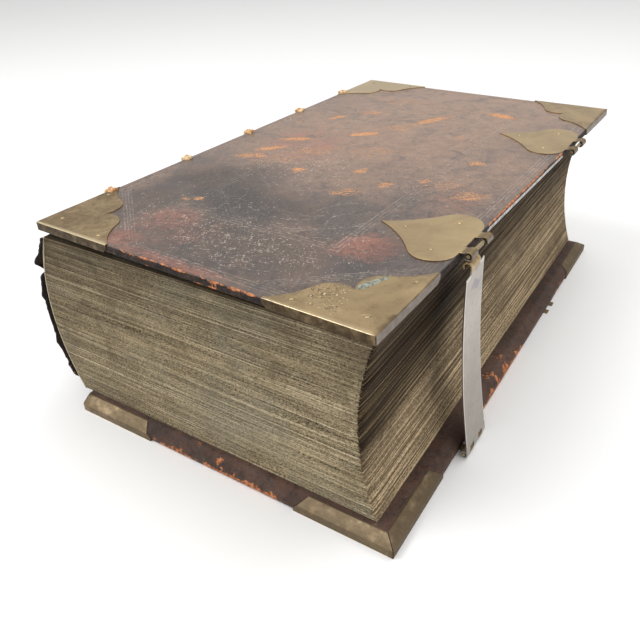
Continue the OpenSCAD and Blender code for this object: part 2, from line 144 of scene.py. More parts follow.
def ramp01(x, a, b):
    """0 below a, 1 above b, smooth between."""
    t = np.clip((np.asarray(x, float) - a) / (b - a), 0, 1)
    return t * t * (3 - 2 * t)


def unit(v):
    return v / np.linalg.norm(v, axis=1)[:, None]


def resampled(path, n):
    """n points along a path, evenly spread over its point numbers."""
    path = np.asarray(path, float)
    t, k = np.linspace(0, len(path) - 1, n), np.arange(len(path))
    return np.stack([np.interp(t, k, column) for column in path.T], 1)


def relaxed(curve, times):
    """Rounds a curve's bends and keeps its ends."""
    for _ in range(times):
        curve[1:-1] = (curve[:-2] + 2 * curve[1:-1] + curve[2:]) / 4
    return curve


def quads(index):
    """Quad faces of a two-dimensional array of vertex numbers."""
    corners = index[:-1, :-1], index[:-1, 1:], index[1:, 1:], index[1:, :-1]
    return np.stack(corners, -1).reshape(-1, 4).tolist()


def ring_quads(index):
    """Quad faces of rows of vertex numbers that each close to a ring."""
    return quads(np.concatenate([index, index[:, :1]], 1))


def border(index):
    """The vertex numbers round a grid."""
    return np.concatenate([index[:, 0], index[-1, 1:], index[-2::-1, -1], index[0, -2:0:-1]])


def sheet_faces(rows, cols):
    """Faces of two like grids of points, one after the other, and of the rim between them."""
    index = np.arange(rows * cols).reshape(rows, cols)
    rim = border(index)
    return quads(index) + quads(index + index.size) + ring_quads(np.stack([rim, rim + index.size]))


def linked(name, data):
    """A new object in the scene."""
    obj = bpy.data.objects.new(name, data)
    bpy.context.scene.collection.objects.link(obj)
    return obj


def add_object(name, points, faces, angle=35.0):
    """A mesh object from points in metres, with outward normals and sharp edges over the angle."""
    mesh = bpy.data.meshes.new(name)
    mesh.from_pydata([tuple(p) for p in np.asarray(points, float)], [], faces)
    outward(mesh)
    smooth(mesh, angle)
    return linked(name, mesh)


def outward(mesh):
    bm = bmesh.new()
    bm.from_mesh(mesh)
    bmesh.ops.recalc_face_normals(bm, faces=bm.faces)
    bm.to_mesh(mesh)
    bm.free()


def smooth(mesh, angle):
    mesh.polygons.foreach_set("use_smooth", np.ones(len(mesh.polygons), bool))
    mesh.set_sharp_from_angle(angle=math.radians(angle))


def paint(obj, **layers):
    """Stores one number a vertex under each name, for the materials."""
    for name, values in layers.items():
        attribute = obj.data.attributes.new(name, "FLOAT", "POINT")
        attribute.data.foreach_set("value", np.asarray(values, np.float32))


def points_of(mesh):
    co = np.zeros(len(mesh.vertices) * 3, np.float32)
    mesh.vertices.foreach_get("co", co)
    return co.reshape(-1, 3).astype(float)


def move_points(mesh, points):
    mesh.vertices.foreach_set("co", points.astype(np.float32).ravel())


OFF_AXIS = [0.31, 0.87, 0.38]  # a direction that no tube follows


def tube(path, radius, sides):
    """A closed tube along points in millimetres, with one radius a point."""
    way = unit(np.gradient(path, axis=0))
    side = unit(np.cross(way, OFF_AXIS))
    up = np.cross(way, side)
    turn = np.linspace(0, 2 * math.pi, sides, endpoint=False)[None, :, None]
    spokes = np.cos(turn) * side[:, None, :] + np.sin(turn) * up[:, None, :]
    points = (path[:, None, :] + radius[:, None, None] * spokes).reshape(-1, 3)
    index = np.arange(len(points)).reshape(len(path), sides)
    return points, ring_quads(index) + [index[0].tolist(), index[-1].tolist()]


def merged(shapes):
    """One list of points and one of faces from several."""
    points, faces, start = [], [], 0
    for p, f in shapes:
        points.append(p)
        faces += [[v + start for v in face] for face in f]
        start += len(p)
    return np.concatenate(points), faces


def bent_sheet(line, thick, y0, y1):
    """A strip of sheet metal bent along a line of (x, z) points and as wide as from y0 to y1."""
    way = unit(np.gradient(line, axis=0))
    side = np.stack([-way[:, 1], way[:, 0]], 1) * thick / 2
    n, lip = 2 * len(line), min(0.15, thick / 4)
    points = []
    for y, inset in ((y0, lip), (y0 + lip, 0), (y1 - lip, 0), (y1, lip)):
        half = side * (1 - 2 * inset / thick)
        ring = np.concatenate([line + half, (line - half)[::-1]])
        points.append(xyz(ring[:, 0], y, ring[:, 1]))
    index = np.arange(4 * n).reshape(4, n)
    faces = ring_quads(index)
    for row in (index[0], index[-1]):
        faces += [[row[i], row[i + 1], row[n - 2 - i], row[n - 1 - i]] for i in range(n // 2 - 1)]
    return np.concatenate(points), faces


ROLL_STEP = 9  # degrees between the points of a rolled edge


def rolled(lead, centre, radius, start, end):
    """A lead of (x, z) points, then an arc between two angles in degrees from +X towards +Z."""
    turn = np.radians(np.linspace(start, end, int(abs(end - start) / ROLL_STEP) + 2))
    arc = np.stack([centre[0] + radius * np.cos(turn), centre[1] + radius * np.sin(turn)], 1)
    return np.concatenate([lead, arc])


# ---- materials

COLOURS = {
    # leather
    "soot": (0.011, 0.010, 0.010), "blot": (0.020, 0.013, 0.010), "pore": (0.016, 0.010, 0.008),
    "fleck": (0.58, 0.50, 0.42), "scratch": (0.50, 0.45, 0.40), "tooling": (0.43, 0.37, 0.32),
    "raw_dark": (0.36, 0.140, 0.055), "raw_light": (0.66, 0.320, 0.125),
    "torn_dark": (0.20, 0.065, 0.032), "torn_light": (0.58, 0.235, 0.100),
    "core_dark": (0.38, 0.35, 0.33), "core_light": (0.60, 0.59, 0.58),
    # brass and strap
    "silvering": (0.40, 0.365, 0.345), "painted_wall_shade": (0.060, 0.039, 0.020),
    "brass_pit": (0.085, 0.055, 0.028), "rubbed_brass_and_painted_highlight": (0.80, 0.66, 0.43),
    "strap_light": (0.52, 0.482, 0.438), "strap_dull": (0.44, 0.405, 0.365),
    "strap_cloud": (0.36, 0.325, 0.30), "strap_foot": (0.27, 0.245, 0.215), "strap_spot": (0.11, 0.09, 0.07),
    "bruise": (0.25, 0.215, 0.29), "hook_light": (0.50, 0.36, 0.19), "hook_dark": (0.33, 0.23, 0.12),
    "painted_rim_highlight": (0.78, 0.75, 0.70), "strap_edge": (0.075, 0.042, 0.022),
    # pages and paper
    "leaf_gap": (0.030, 0.023, 0.012), "leaf": (0.52, 0.415, 0.250), "pale_leaf": (0.74, 0.63, 0.43),
    "fore_gap": (0.105, 0.066, 0.034), "fore_leaf": (0.76, 0.575, 0.35), "page_cloud": (0.15, 0.112, 0.062),
    "page_grey": (0.21, 0.205, 0.16), "smut_and_shade": (0.024, 0.014, 0.006), "leaf_in_smut_and_shade": (0.180, 0.124, 0.064),
    "paper_light": (0.62, 0.54, 0.40), "paper_dark": (0.50, 0.41, 0.275), "fibre": (0.36, 0.28, 0.18),
    "foxing": (0.30, 0.17, 0.07),
    # cords, wood, verdigris and floor
    "cord_pale": (0.70, 0.55, 0.33), "cord_brown": (0.50, 0.21, 0.06), "strand": (0.74, 0.62, 0.42),
    "wood_light": (0.30, 0.19, 0.10), "wood_dark": (0.17, 0.10, 0.055), "wood_pore": (0.07, 0.045, 0.025),
    "green": (0.30, 0.34, 0.30), "green_dark": (0.14, 0.125, 0.075), "green_light": (0.46, 0.50, 0.46),
    "floor_grey": (0.94, 0.94, 0.935), "floor_pale": (0.955, 0.955, 0.95),
}


class Nodes:
    """A node tree and short calls that add its nodes."""

    def __init__(self, tree):
        self.tree = tree
        tree.nodes.clear()

    def put(self, socket, value):
        """Links a socket, or sets it to a number, a vector or a colour, which may be a name from COLOURS."""
        if isinstance(value, bpy.types.NodeSocket):
            self.tree.links.new(value, socket)
        elif socket.type == "RGBA":
            socket.default_value = (*COLOURS.get(value, value), 1)
        else:
            socket.default_value = value

    def node(self, kind, **inputs):
        """A new node. Its inputs are given by their names, with _ for each space."""
        n = self.tree.nodes.new("ShaderNode" + kind)
        for name, value in inputs.items():
            self.put(n.inputs[name.replace("_", " ")], value)
        return n

    def math(self, operation, a, b, clamp=False):
        n = self.node("Math")
        n.operation, n.use_clamp = operation, clamp
        self.put(n.inputs[0], a)
        self.put(n.inputs[1], b)
        return n.outputs[0]

    def times(self, *values):
        return reduce(lambda a, b: self.math("MULTIPLY", a, b), values)

    def most(self, *values):
        return reduce(lambda a, b: self.math("MAXIMUM", a, b), values)

    def sum(self, *terms):
        """Sum of (weight, socket) pairs."""
        parts = [self.times(socket, weight) for weight, socket in terms]
        return reduce(lambda a, b: self.math("ADD", a, b), parts)

    def step(self, value, low, high):
        """0 below low, 1 above high, smooth between. low may be above high."""
        start, end = (0, 1) if low < high else (1, 0)
        n = self.node("MapRange", Value=value, From_Min=min(low, high), From_Max=max(low, high),
                      To_Min=start, To_Max=end)
        n.interpolation_type = "SMOOTHSTEP"
        return n.outputs[0]

    def mix(self, share, a, b):
        n = self.node("Mix")
        n.data_type = "RGBA"
        for k, value in ((0, share), (6, a), (7, b)):
            self.put(n.inputs[k], value)
        return n.outputs[2]


class Shader(Nodes):
    """A material whose base colour is built up in coats. Its coordinates are the object's, in millimetres."""

    def __init__(self, name):
        self.material = bpy.data.materials.new(name)
        self.material.use_nodes = True
        super().__init__(self.material.node_tree)
        self.bsdf = self.node("BsdfPrincipled")
        self.node("OutputMaterial", Surface=self.bsdf.outputs[0])
        scale = self.node("VectorMath")
        scale.operation = "SCALE"
        self.put(scale.inputs["Scale"], 1 / MM)
        self.put(scale.inputs[0], self.node("TexCoord").outputs["Object"])
        self.mm = scale.outputs[0]

    def noise(self, size, detail=3.0, rough=0.55, vector=None, distort=0.0):
        """Noise with features of that size in millimetres."""
        return self.node("TexNoise", Vector=vector or self.mm, Scale=1.0 / size, Detail=detail,
                         Roughness=rough, Distortion=distort).outputs[0]

    def streak(self, size, turn=0.0, detail=3.0, tilt=0.0):
        """Noise drawn out to sizes along X, Y and Z, turned about Z and tilted about X, in degrees."""
        spin = math.radians(tilt), 0, math.radians(turn)
        n = self.node("Mapping", Vector=self.mm, Rotation=spin, Scale=size)
        n.vector_type = "TEXTURE"
        return self.noise(1.0, detail, 0.6, n.outputs[0])

    def painted(self, name):
        n = self.node("Attribute")
        n.attribute_name = name
        return n.outputs["Fac"]

    def start(self, share, a, b):
        self.colour = self.mix(share, a, b)

    def coat(self, colour, *shares):
        """Lays a colour over the ones before it, with the product of the shares as its weight."""
        self.colour = self.mix(self.times(*shares), self.colour, colour)

    def finish(self, bumps=(), depth_mm=0.0, **sockets):
        """Sets the shader's sockets and a bump from (weight, socket) pairs, and gives the material."""
        for name, value in {"Base_Color": self.colour, **sockets}.items():
            self.put(self.bsdf.inputs[name.replace("_", " ")], value)
        if bumps:
            bump = self.node("Bump", Strength=1.0, Distance=depth_mm * MM, Height=self.sum(*bumps))
            self.put(self.bsdf.inputs["Normal"], bump.outputs[0])
        return self.material


def leather_material(name, dark, brown, tan, red, roughness, gloss, chalky):
    """Worn calf. chalky is the strength of its pale specks."""
    m = Shader(name)
    broad, patch = m.noise(48, 4, 0.6), m.noise(17, 5, 0.65, distort=1.2)
    mottle, fine, crumb = m.noise(6.0, 6, 0.70, distort=0.8), m.noise(1.2, 4, 0.62), m.noise(2.6, 4, 0.68)
    speck, wrinkle = m.noise(1.7, 3, 0.65), m.streak((7, 1.3, 2), 32, detail=4)
    rise, fall, cross = m.streak((10, 0.7, 2), 40), m.streak((8, 0.7, 2), -22), m.streak((12, 0.7, 2), 80)
    scuff, edge, bare, tool = map(m.painted, ("scuff", "edge", "bare", "tool"))
    black, ruddy, faded, chalk = map(m.painted, ("black", "ruddy", "tan", "chalk"))
    m.start(m.step(broad, 0.38, 0.66), dark, brown)
    m.coat(tan, faded, m.step(patch, 0.18, 0.62))
    m.coat(red, m.step(m.sum((0.6, patch), (0.7, crumb), (0.3, speck), (0.8, ruddy)), 1.08, 1.50), 0.9)
    m.coat("soot", black, m.step(m.sum((0.55, mottle), (0.45, crumb)), 0.30, 0.56))
    m.coat("blot", m.step(mottle, 0.51, 0.36), m.math("SUBTRACT", 0.58, m.times(faded, 0.40)))
    # Chalky specks and scratches, thickest where the grain is rubbed
    dust = m.sum((0.060, chalk), (0.10, patch))
    dash = m.most(m.streak((3.4, 0.9, 1.6), 24), m.streak((2.8, 0.9, 1.6), -56))
    fleck = m.step(m.math("ADD", m.sum((0.8, dash), (0.2, mottle)), dust), 0.680, 0.760)
    m.coat("fleck", fleck, chalky)
    m.coat("pore", m.step(m.sum((0.6, crumb), (0.4, speck)), 0.47, 0.38), 0.42)
    scratch = m.step(m.math("ADD", m.most(rise, fall, cross), dust), 0.765, 0.85)
    m.coat("scratch", scratch, 0.50)
    m.coat("tooling", tool, m.step(crumb, 0.38, 0.70))
    # Raw leather where the surface is rubbed off, and the board's core where the edge is worn through
    worn = m.step(m.sum((0.92, scuff), (1.6, rise), (0.8, crumb), (0.6, fine)), 1.93, 2.22)
    m.coat(m.mix(m.step(fine, 0.38, 0.62), "raw_dark", "raw_light"), worn)
    rubbed = m.step(m.sum((0.9, edge), (0.9, crumb), (0.5, fine)), 1.16, 1.34)
    m.coat(m.mix(m.step(crumb, 0.36, 0.64), "torn_dark", "torn_light"), rubbed)
    core = m.step(m.sum((1.0, bare), (0.5, crumb), (0.3, fine)), 1.00, 1.16)
    m.coat(m.mix(m.step(mottle, 0.4, 0.6), "core_dark", "core_light"), core)
    off = m.most(worn, rubbed)
    rough = m.sum((0.20, mottle), (0.12, fine), (0.30, off), (0.22, black), (0.35, core), (0.10, fleck))
    bumps = (0.35, mottle), (0.35, fine), (0.4, wrinkle), (0.2, fleck), (-0.25, scratch), (-0.5, off)
    return m.finish(bumps, 0.34, IOR=1.7, Specular_IOR_Level=gloss,
                    Roughness=m.math("ADD", rough, roughness, clamp=True))


def brass_material(name, light, dull, brown):
    m = Shader(name)
    broad, cloud, fine = m.noise(34, 4, 0.6, distort=0.5), m.noise(5, 6, 0.68), m.noise(1.0, 3, 0.6)
    pock = m.noise(2.6, 3, 0.6, distort=1.4)
    rub = m.most(m.streak((14, 0.8, 1), 20), m.streak((9, 0.8, 1), -50))
    pits, age, fold, silver, wall = map(m.painted, ("pits", "age", "fold", "silver", "wall"))
    m.start(m.step(broad, 0.36, 0.64), light, dull)
    tarnish = m.step(m.sum((0.55, cloud), (0.45, broad), (0.35, age)), 0.52, 0.84)
    m.coat(brown, tarnish, 0.75)
    # A painted reflection on the upper pieces' side walls, then painted shade on the walls and barrels
    m.coat("silvering", silver)
    m.coat("painted_wall_shade", wall, m.math("ADD", m.times(m.step(cloud, 0.30, 0.62), 0.30), 0.70))
    # Dark pits with bright flecks between them, rubbed metal with painted glints
    hole = m.times(m.step(m.sum((0.8, pock), (0.2, pits)), 0.60, 0.66), m.step(pits, 0.10, 0.45))
    speck = m.times(m.step(m.sum((0.5, fine), (0.5, cloud)), 0.585, 0.66), m.math("ADD", pits, 0.25))
    stain = m.math("MAXIMUM", hole, speck, clamp=True)
    m.coat("brass_pit", stain, 0.85)
    glint = m.times(m.step(m.noise(1.7, 2), 0.62, 0.70), m.step(pits, 0.20, 0.60))
    # Rubbed streaks, the flecks, the folds with their painted highlight and the painted sheen take the bright
    # brass
    bright = m.most(m.times(m.step(rub, 0.70, 0.80), 0.5), fold, glint)
    m.coat("rubbed_brass_and_painted_highlight", bright)
    rough = m.sum((0.22, cloud), (0.12, fine), (0.14, tarnish), (0.2, stain), (-0.12, bright))
    bumps = (-0.8, stain), (0.3, cloud), (0.2, fine), (-0.12, bright)
    return m.finish(bumps, 0.22, Metallic=m.math("SUBTRACT", 0.95, m.times(stain, 0.7)),
                    Roughness=m.math("ADD", rough, 0.26))


def strap_material():
    m = Shader("strap_metal")
    broad, cloud, fine = m.noise(30, 4, 0.6), m.noise(5, 5, 0.6), m.noise(0.8, 3, 0.6)
    brush = m.streak((0.8, 0.8, 30))
    height = m.node("SeparateXYZ", Vector=m.mm).outputs[2]
    m.start(m.step(broad, 0.35, 0.65), "strap_light", "strap_dull")
    m.coat("strap_cloud", m.step(cloud, 0.52, 0.70), 0.30)
    # Duller towards the foot, a bluish stain below the hook, and brass where the silver plating is worn off
    m.coat("strap_foot", m.step(height, 120, 20), 0.45)
    m.coat("bruise", m.times(m.step(height, 108, 126), m.step(m.noise(12, 3), 0.52, 0.64)), 0.55)
    spot = m.step(m.sum((0.6, fine), (0.4, cloud)), 0.63, 0.68)
    m.coat("strap_spot", spot, 0.6)
    m.coat(m.mix(m.step(cloud, 0.4, 0.6), "hook_light", "hook_dark"), m.painted("worn"))
    # A painted highlight along the plate's rims
    m.coat("painted_rim_highlight", m.painted("rim"), 0.6)
    m.coat("strap_edge", m.painted("edge"))
    rough = m.sum((0.2, cloud), (0.12, brush), (0.1, spot))
    return m.finish(((0.3, cloud), (0.3, brush), (-0.5, spot)), 0.10, Metallic=0.85,
                    Roughness=m.math("ADD", rough, 0.26))


def paper_colour(m):
    return m.mix(m.step(m.noise(60, 5, 0.55), 0.30, 0.75), "paper_light", "paper_dark")


def page_material():
    m = Shader("page_edges")
    leaf, strata = m.streak((60, 60, 0.9)), m.streak((120, 120, 4.5))
    line, thread = m.streak((260, 260, 0.8), detail=1), m.streak((170, 170, 0.75), detail=1)
    grit, grain = m.streak((1.9, 1.9, 0.8), detail=4), m.noise(1.0, 4, 0.75)
    cloud, stain = m.noise(24, 5, 0.62, distort=0.6), m.noise(70, 3, 0.6)
    dirt, sheet, fore = map(m.painted, ("dirt", "sheet", "fore"))
    gritty = m.step(grain, 0.30, 0.60)
    tone = m.sum((0.32, leaf), (0.46, grit), (0.42, grain), (0.18, strata))
    m.start(m.step(tone, 0.54, 0.86), "leaf_gap", "leaf")
    m.coat("pale_leaf", m.times(m.step(line, 0.575, 0.66), gritty), 0.85)
    # On the fore-edge the leaves stand as thin pale threads on brown
    comb = m.mix(m.step(m.sum((0.65, thread), (0.35, grit)), 0.44, 0.64), "fore_gap", "fore_leaf")
    m.coat(comb, fore, 0.8)
    m.coat("page_cloud", m.step(cloud, 0.46, 0.70), 0.42)
    m.coat("page_grey", m.times(m.step(stain, 0.46, 0.66), m.math("SUBTRACT", 1.0, fore)), 0.30)
    clean = m.times(m.most(m.step(thread, 0.56, 0.66), m.step(line, 0.60, 0.68)), gritty)
    # Dirt and painted shade darken the leaves, by their painted weight
    smut_and_shade = m.step(m.sum((0.28, cloud), (0.22, grain), (0.85, dirt)), 0.36, 1.10)
    m.coat(m.mix(clean, "smut_and_shade", "leaf_in_smut_and_shade"), smut_and_shade)
    m.coat(paper_colour(m), sheet)
    return m.finish(((0.6, leaf), (0.7, grit), (0.5, grain), (0.4, line)), 0.40,
                    Roughness=0.84, Specular_IOR_Level=0.2)


def paper_material():
    m = Shader("aged_paper")
    cloud, fine, fibre = m.noise(60, 5, 0.55), m.noise(0.8, 4, 0.6), m.noise(2.2, 5, 0.7)
    cells = m.node("TexVoronoi", Vector=m.mm, Scale=1 / 17).outputs["Distance"]
    m.colour = paper_colour(m)
    m.coat("fibre", m.step(fibre, 0.55, 0.75), 0.3)
    m.coat("foxing", m.times(m.step(cells, 0.16, 0.04), m.step(m.noise(40), 0.42, 0.6)), 0.7)
    return m.finish(((0.6, fibre), (0.4, fine), (0.6, cloud)), 0.2, Roughness=0.86)


def cord_material():
    m = Shader("frayed_cord")
    strand, cloud = m.streak((0.8, 0.8, 2.0), 30, tilt=40), m.noise(4, 4, 0.6)
    m.start(m.step(cloud, 0.42, 0.60), "cord_pale", "cord_brown")
    m.coat("strand", m.step(strand, 0.5, 0.7), 0.5)
    return m.finish(((1.0, strand), (0.5, cloud)), 0.3, Roughness=0.88)


def wood_material():
    m = Shader("board_wood")
    ring, pore = m.streak((2.9, 50, 2.9), detail=4), m.streak((0.4, 8, 0.4))
    m.start(m.step(ring, 0.35, 0.65), "wood_light", "wood_dark")
    m.coat("wood_pore", m.step(pore, 0.56, 0.7), 0.6)
    return m.finish(((0.6, ring), (-0.6, pore)), 0.25, Roughness=0.7)


def crust_material():
    m = Shader("verdigris")
    cloud, fine = m.noise(3.0, 5, 0.65), m.noise(0.7, 4, 0.6)
    m.start(m.step(cloud, 0.42, 0.58), "green", "green_dark")
    m.coat("green_light", m.step(fine, 0.5, 0.7), 0.5)
    return m.finish(((1.0, cloud), (0.6, fine)), 0.4, Roughness=0.9)


# Dark, brown, tan and red colours, roughness, gloss and strength of the specks
LEATHERS = {
    "cover_leather": ((0.080, 0.055, 0.045), (0.175, 0.106, 0.070), (0.280, 0.163, 0.100),
                      (0.290, 0.098, 0.056), 0.17, 0.5, 0.70),
    "edge_leather": ((0.080, 0.056, 0.046), (0.170, 0.112, 0.086), (0.220, 0.130, 0.086),
                     (0.205, 0.080, 0.046), 0.46, 0.14, 0.18),
    "spine_leather": ((0.035, 0.026, 0.022), (0.095, 0.060, 0.044), (0.140, 0.080, 0.050),
                      (0.140, 0.058, 0.034), 0.36, 0.15, 0.25),
}
# Light, dull and tarnished colours
BRASSES = {
    "corner_brass": ((0.43, 0.315, 0.170), (0.33, 0.240, 0.132), (0.15, 0.104, 0.056)),
    "low_brass": ((0.42, 0.318, 0.196), (0.33, 0.250, 0.158), (0.15, 0.112, 0.070)),
    "plate_brass": ((0.47, 0.352, 0.196), (0.40, 0.298, 0.168), (0.24, 0.170, 0.092)),
    "pin_brass": ((0.42, 0.33, 0.205), (0.32, 0.25, 0.15), (0.17, 0.13, 0.08)),
}
MATERIALS = {
    **{name: leather_material(name, *look) for name, look in LEATHERS.items()},
    **{name: brass_material(name, *look) for name, look in BRASSES.items()},
    "strap_metal": strap_material(),
    "pages": page_material(),
    "paper": paper_material(),
    "cord": cord_material(),
    "board_wood": wood_material(),
    "verdigris": crust_material(),
}


def finish_piece(obj, body, slot, material=None, replaces=()):
    """Gives a piece the material of its slot or the one named, puts it on its body and hides the parts it
    replaces.
    """
    obj.data.materials.clear()
    obj.data.materials.append(MATERIALS[material or slot])
    if body:
        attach(obj, body)
    if replaces:
        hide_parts(*replaces)


# ---- camera, light and floor

CAMERA_PLACE, CAMERA_SPIN = (0.26273, -0.45650, 0.34011), Vector((2.0304, 0.5440, -0.3537))
# Place, target, width in metres and power in watts
LIGHTS = {
    "key": ((-0.9, -0.9, 1.7), (0, 0, 0.08), 1.2, 19),
    "top": ((0.3, 0.5, 1.9), (0, 0, 0.1), 1.4, 14),
    "fill": ((1.7, -0.5, 0.8), (0.1, 0, 0.06), 1.2, 5),
}
SKY_LEVEL, SEEN_LEVEL = 0.80, 1.0
FLOOR_HALF = 9.0


def make_camera():
    data = bpy.data.cameras.new("camera")
    data.sensor_width, data.lens = 36.0, 37.326
    data.shift_x, data.shift_y = -0.046875, -0.078125
    data.clip_start, data.clip_end = 0.01, 50
    cam = linked("camera", data)
    world_to_cam = Matrix.Rotation(CAMERA_SPIN.length, 3, CAMERA_SPIN.normalized())
    cam_to_world = world_to_cam.transposed() @ Matrix.Diagonal((1, -1, -1))
    cam.matrix_world = Matrix.Translation(CAMERA_PLACE) @ cam_to_world.to_4x4()
    bpy.context.scene.camera = cam


def make_stage():
    scene = bpy.context.scene
    scene.view_settings.view_transform = "Standard"
    scene.world = bpy.data.worlds.new("studio")
    scene.world.use_nodes = True
    w = Nodes(scene.world.node_tree)
    path = w.node("LightPath")
    seen = w.most(*(path.outputs[f"Is {ray} Ray"] for ray in ("Camera", "Glossy", "Transmission")))
    level = w.node("MapRange", Value=seen, To_Min=SKY_LEVEL, To_Max=SEEN_LEVEL)
    back = w.node("Background", Strength=level.outputs[0])
    w.node("OutputWorld", Surface=back.outputs[0])
    for name, (place, target, size, power) in LIGHTS.items():
        data = bpy.data.lights.new(name, "AREA")
        data.shape, data.size, data.energy = "DISK", size, power
        lamp = linked(name, data)
        lamp.location = place
        lamp.rotation_mode = "QUATERNION"
        lamp.rotation_quaternion = (Vector(target) - Vector(place)).to_track_quat("-Z", "Y")
    corners = [(x * FLOOR_HALF, y * FLOOR_HALF, 0) for x, y in ((-1, -1), (1, -1), (1, 1), (-1, 1))]
    floor = add_object("floor", corners, [[0, 1, 2, 3]])
    m = Shader("floor")
    m.start(m.noise(400, 2), "floor_grey", "floor_pale")
    floor.data.materials.append(m.finish(Roughness=0.8))


make_camera()
make_stage()


# ---- covers

QUARTERS = [(-1, -1), (-1, 1), (1, -1), (1, 1)]
OUTER_FILLETS, INNER_FILLETS = [6.0, 8.6, 11.2], [65.6, 68.4, 71.2]
FILLETS, FILLET_HALF = OUTER_FILLETS + INNER_FILLETS, 0.75
# Fillets across the corners, as distances along their normal, and how far from the edges they end
CUT_NORMAL, CUT_REACH = np.array([0.634, 0.773]), 5
CUTS = [([57.6, 59.6, 61.6, 63.6], OUTER_FILLETS[-1]), ([125.4, 128.4], INNER_FILLETS[-1])]
SKIN_STEP, EDGE_ROUND = 2.3, 1.3
TOOL_DEPTH, FACE_Z, WALL_Z = 0.32, BRASS_T + 0.02, BRASS_T + 0.6


def fillet_lines(half):
    """Grid positions from -half to half with fine lines at each tooled fillet."""
    profile = np.array([-1.0, -0.45, 0.0, 0.45, 1.0]) * FILLET_HALF
    offsets = [d - EDGE_ROUND for d in FILLETS]
    fine = np.concatenate([place + profile for d in offsets for place in (-half + d, half - d)])
    coarse = np.linspace(-half, half, int(2 * half / SKIN_STEP) + 1)
    keep = [c for c in coarse if np.abs(fine - c).min() > 0.45 * SKIN_STEP or abs(abs(c) - half) < 1e-6]
    return np.unique(np.round(np.concatenate([keep, fine]), 4))


def edge_distance(x, y):
    """Distance of a point from the nearest side edge and from the nearest end of its cover, in plan."""
    return HALF_W - np.abs(x), HALF_L - np.abs(y)


# Tooled scrolls of one quarter of a cover, from its spine edge and its tail edge. The other quarters mirror
# them. Then the points along each scroll and the passes that round its bends
SCROLLS = [
    [(84, 117), (91, 117), (98, 105), (94, 94)], [(90, 136), (102, 130), (111, 115), (112, 104)],
    [(107, 98), (113, 91), (120, 90), (132, 86)], [(130, 97), (138, 100), (150, 96)],
    [(141, 81), (149, 75), (160, 78), (168, 87)], [(30, 144), (52, 126), (58, 123), (54, 113)],
]
SCROLL_POINTS, SCROLL_ROUNDS = 60, 60


def scroll_tree():
    """Points along every scroll, in a cover's own space, for looking up the nearest."""
    quarter = np.concatenate([relaxed(resampled(run, SCROLL_POINTS), SCROLL_ROUNDS) for run in SCROLLS])
    quarter -= [COVER_W / 2, COVER_L / 2]
    points = np.concatenate([quarter * signs for signs in QUARTERS])
    tree = KDTree(len(points))
    for k, (x, y) in enumerate(points):
        tree.insert((x, y, 0), k)
    tree.balance()
    return tree


SCROLL_TREE = scroll_tree()


def scroll_distance(x, y):
    return np.array([SCROLL_TREE.find((a, b, 0))[2] for a, b in zip(x, y)])


def tooling(x, y):
    """Depth from 0 to 1 of the blind-tooled lines at points of a cover's face."""
    dx, dy = edge_distance(x, y)
    depth = np.clip(1 - scroll_distance(x, y) / FILLET_HALF, 0, 1)

    def line(distance, along):
        np.maximum(depth, np.clip(1 - np.abs(distance) / FILLET_HALF, 0, 1) * along, out=depth)

    for d in FILLETS:
        line(dx - d, dy >= d - FILLET_HALF)
        line(dy - d, dx >= d - FILLET_HALF)
    cut = dx * CUT_NORMAL[0] + dy * CUT_NORMAL[1]
    for cuts, margin in CUTS:
        for c in cuts:
            line(cut - c, (dx > margin) & (dy > margin))
    return depth


def refine_scrolls(bm):
    """Splits the faces along the scrolls, so that the mesh is fine enough for their grooves."""
    for reach in (3.2, 2.0):
        faces = [f for f in bm.faces if f.calc_center_median().z < BRASS_T + 0.1]
        centres = np.array([f.calc_center_median()[:2] for f in faces])
        near = scroll_distance(centres[:, 0], centres[:, 1]) < reach
        edges = dict.fromkeys(e for f, n in zip(faces, near) if n for e in f.edges)
        bmesh.ops.subdivide_edges(bm, edges=list(edges), cuts=1, use_grid_fill=True)


def cut_diagonals(bm):
    """Adds edges along the diagonal fillets, so that their grooves are sharp in the mesh."""
    length = CUT_NORMAL.dot(CUT_NORMAL) ** 0.5
    for cuts, margin in CUTS:
        for sx, sy in QUARTERS:
            geom = {}
            for f in bm.faces:
                c = f.calc_center_median()
                dx, dy = HALF_W - sx * c.x, HALF_L - sy * c.y
                cut = dx * CUT_NORMAL[0] + dy * CUT_NORMAL[1]
                near = cuts[0] - CUT_REACH < cut < cuts[-1] + CUT_REACH
                if near and min(dx, dy) >= margin - 3 and c.z <= BRASS_T + 1:
                    geom.update(dict.fromkeys([f, *f.edges, *f.verts]))
            geom = list(geom)
            corner = Vector((sx * HALF_W, sy * HALF_L, 0))
            normal = Vector((-sx * CUT_NORMAL[0], -sy * CUT_NORMAL[1], 0))
            for place in (c + k * FILLET_HALF for c in cuts for k in (-1.0, 0.0, 1.0)):
                geom = bmesh.ops.bisect_plane(bm, geom=geom, plane_co=corner + normal * (place / length),
                                              plane_no=normal, dist=1e-4)["geom"]


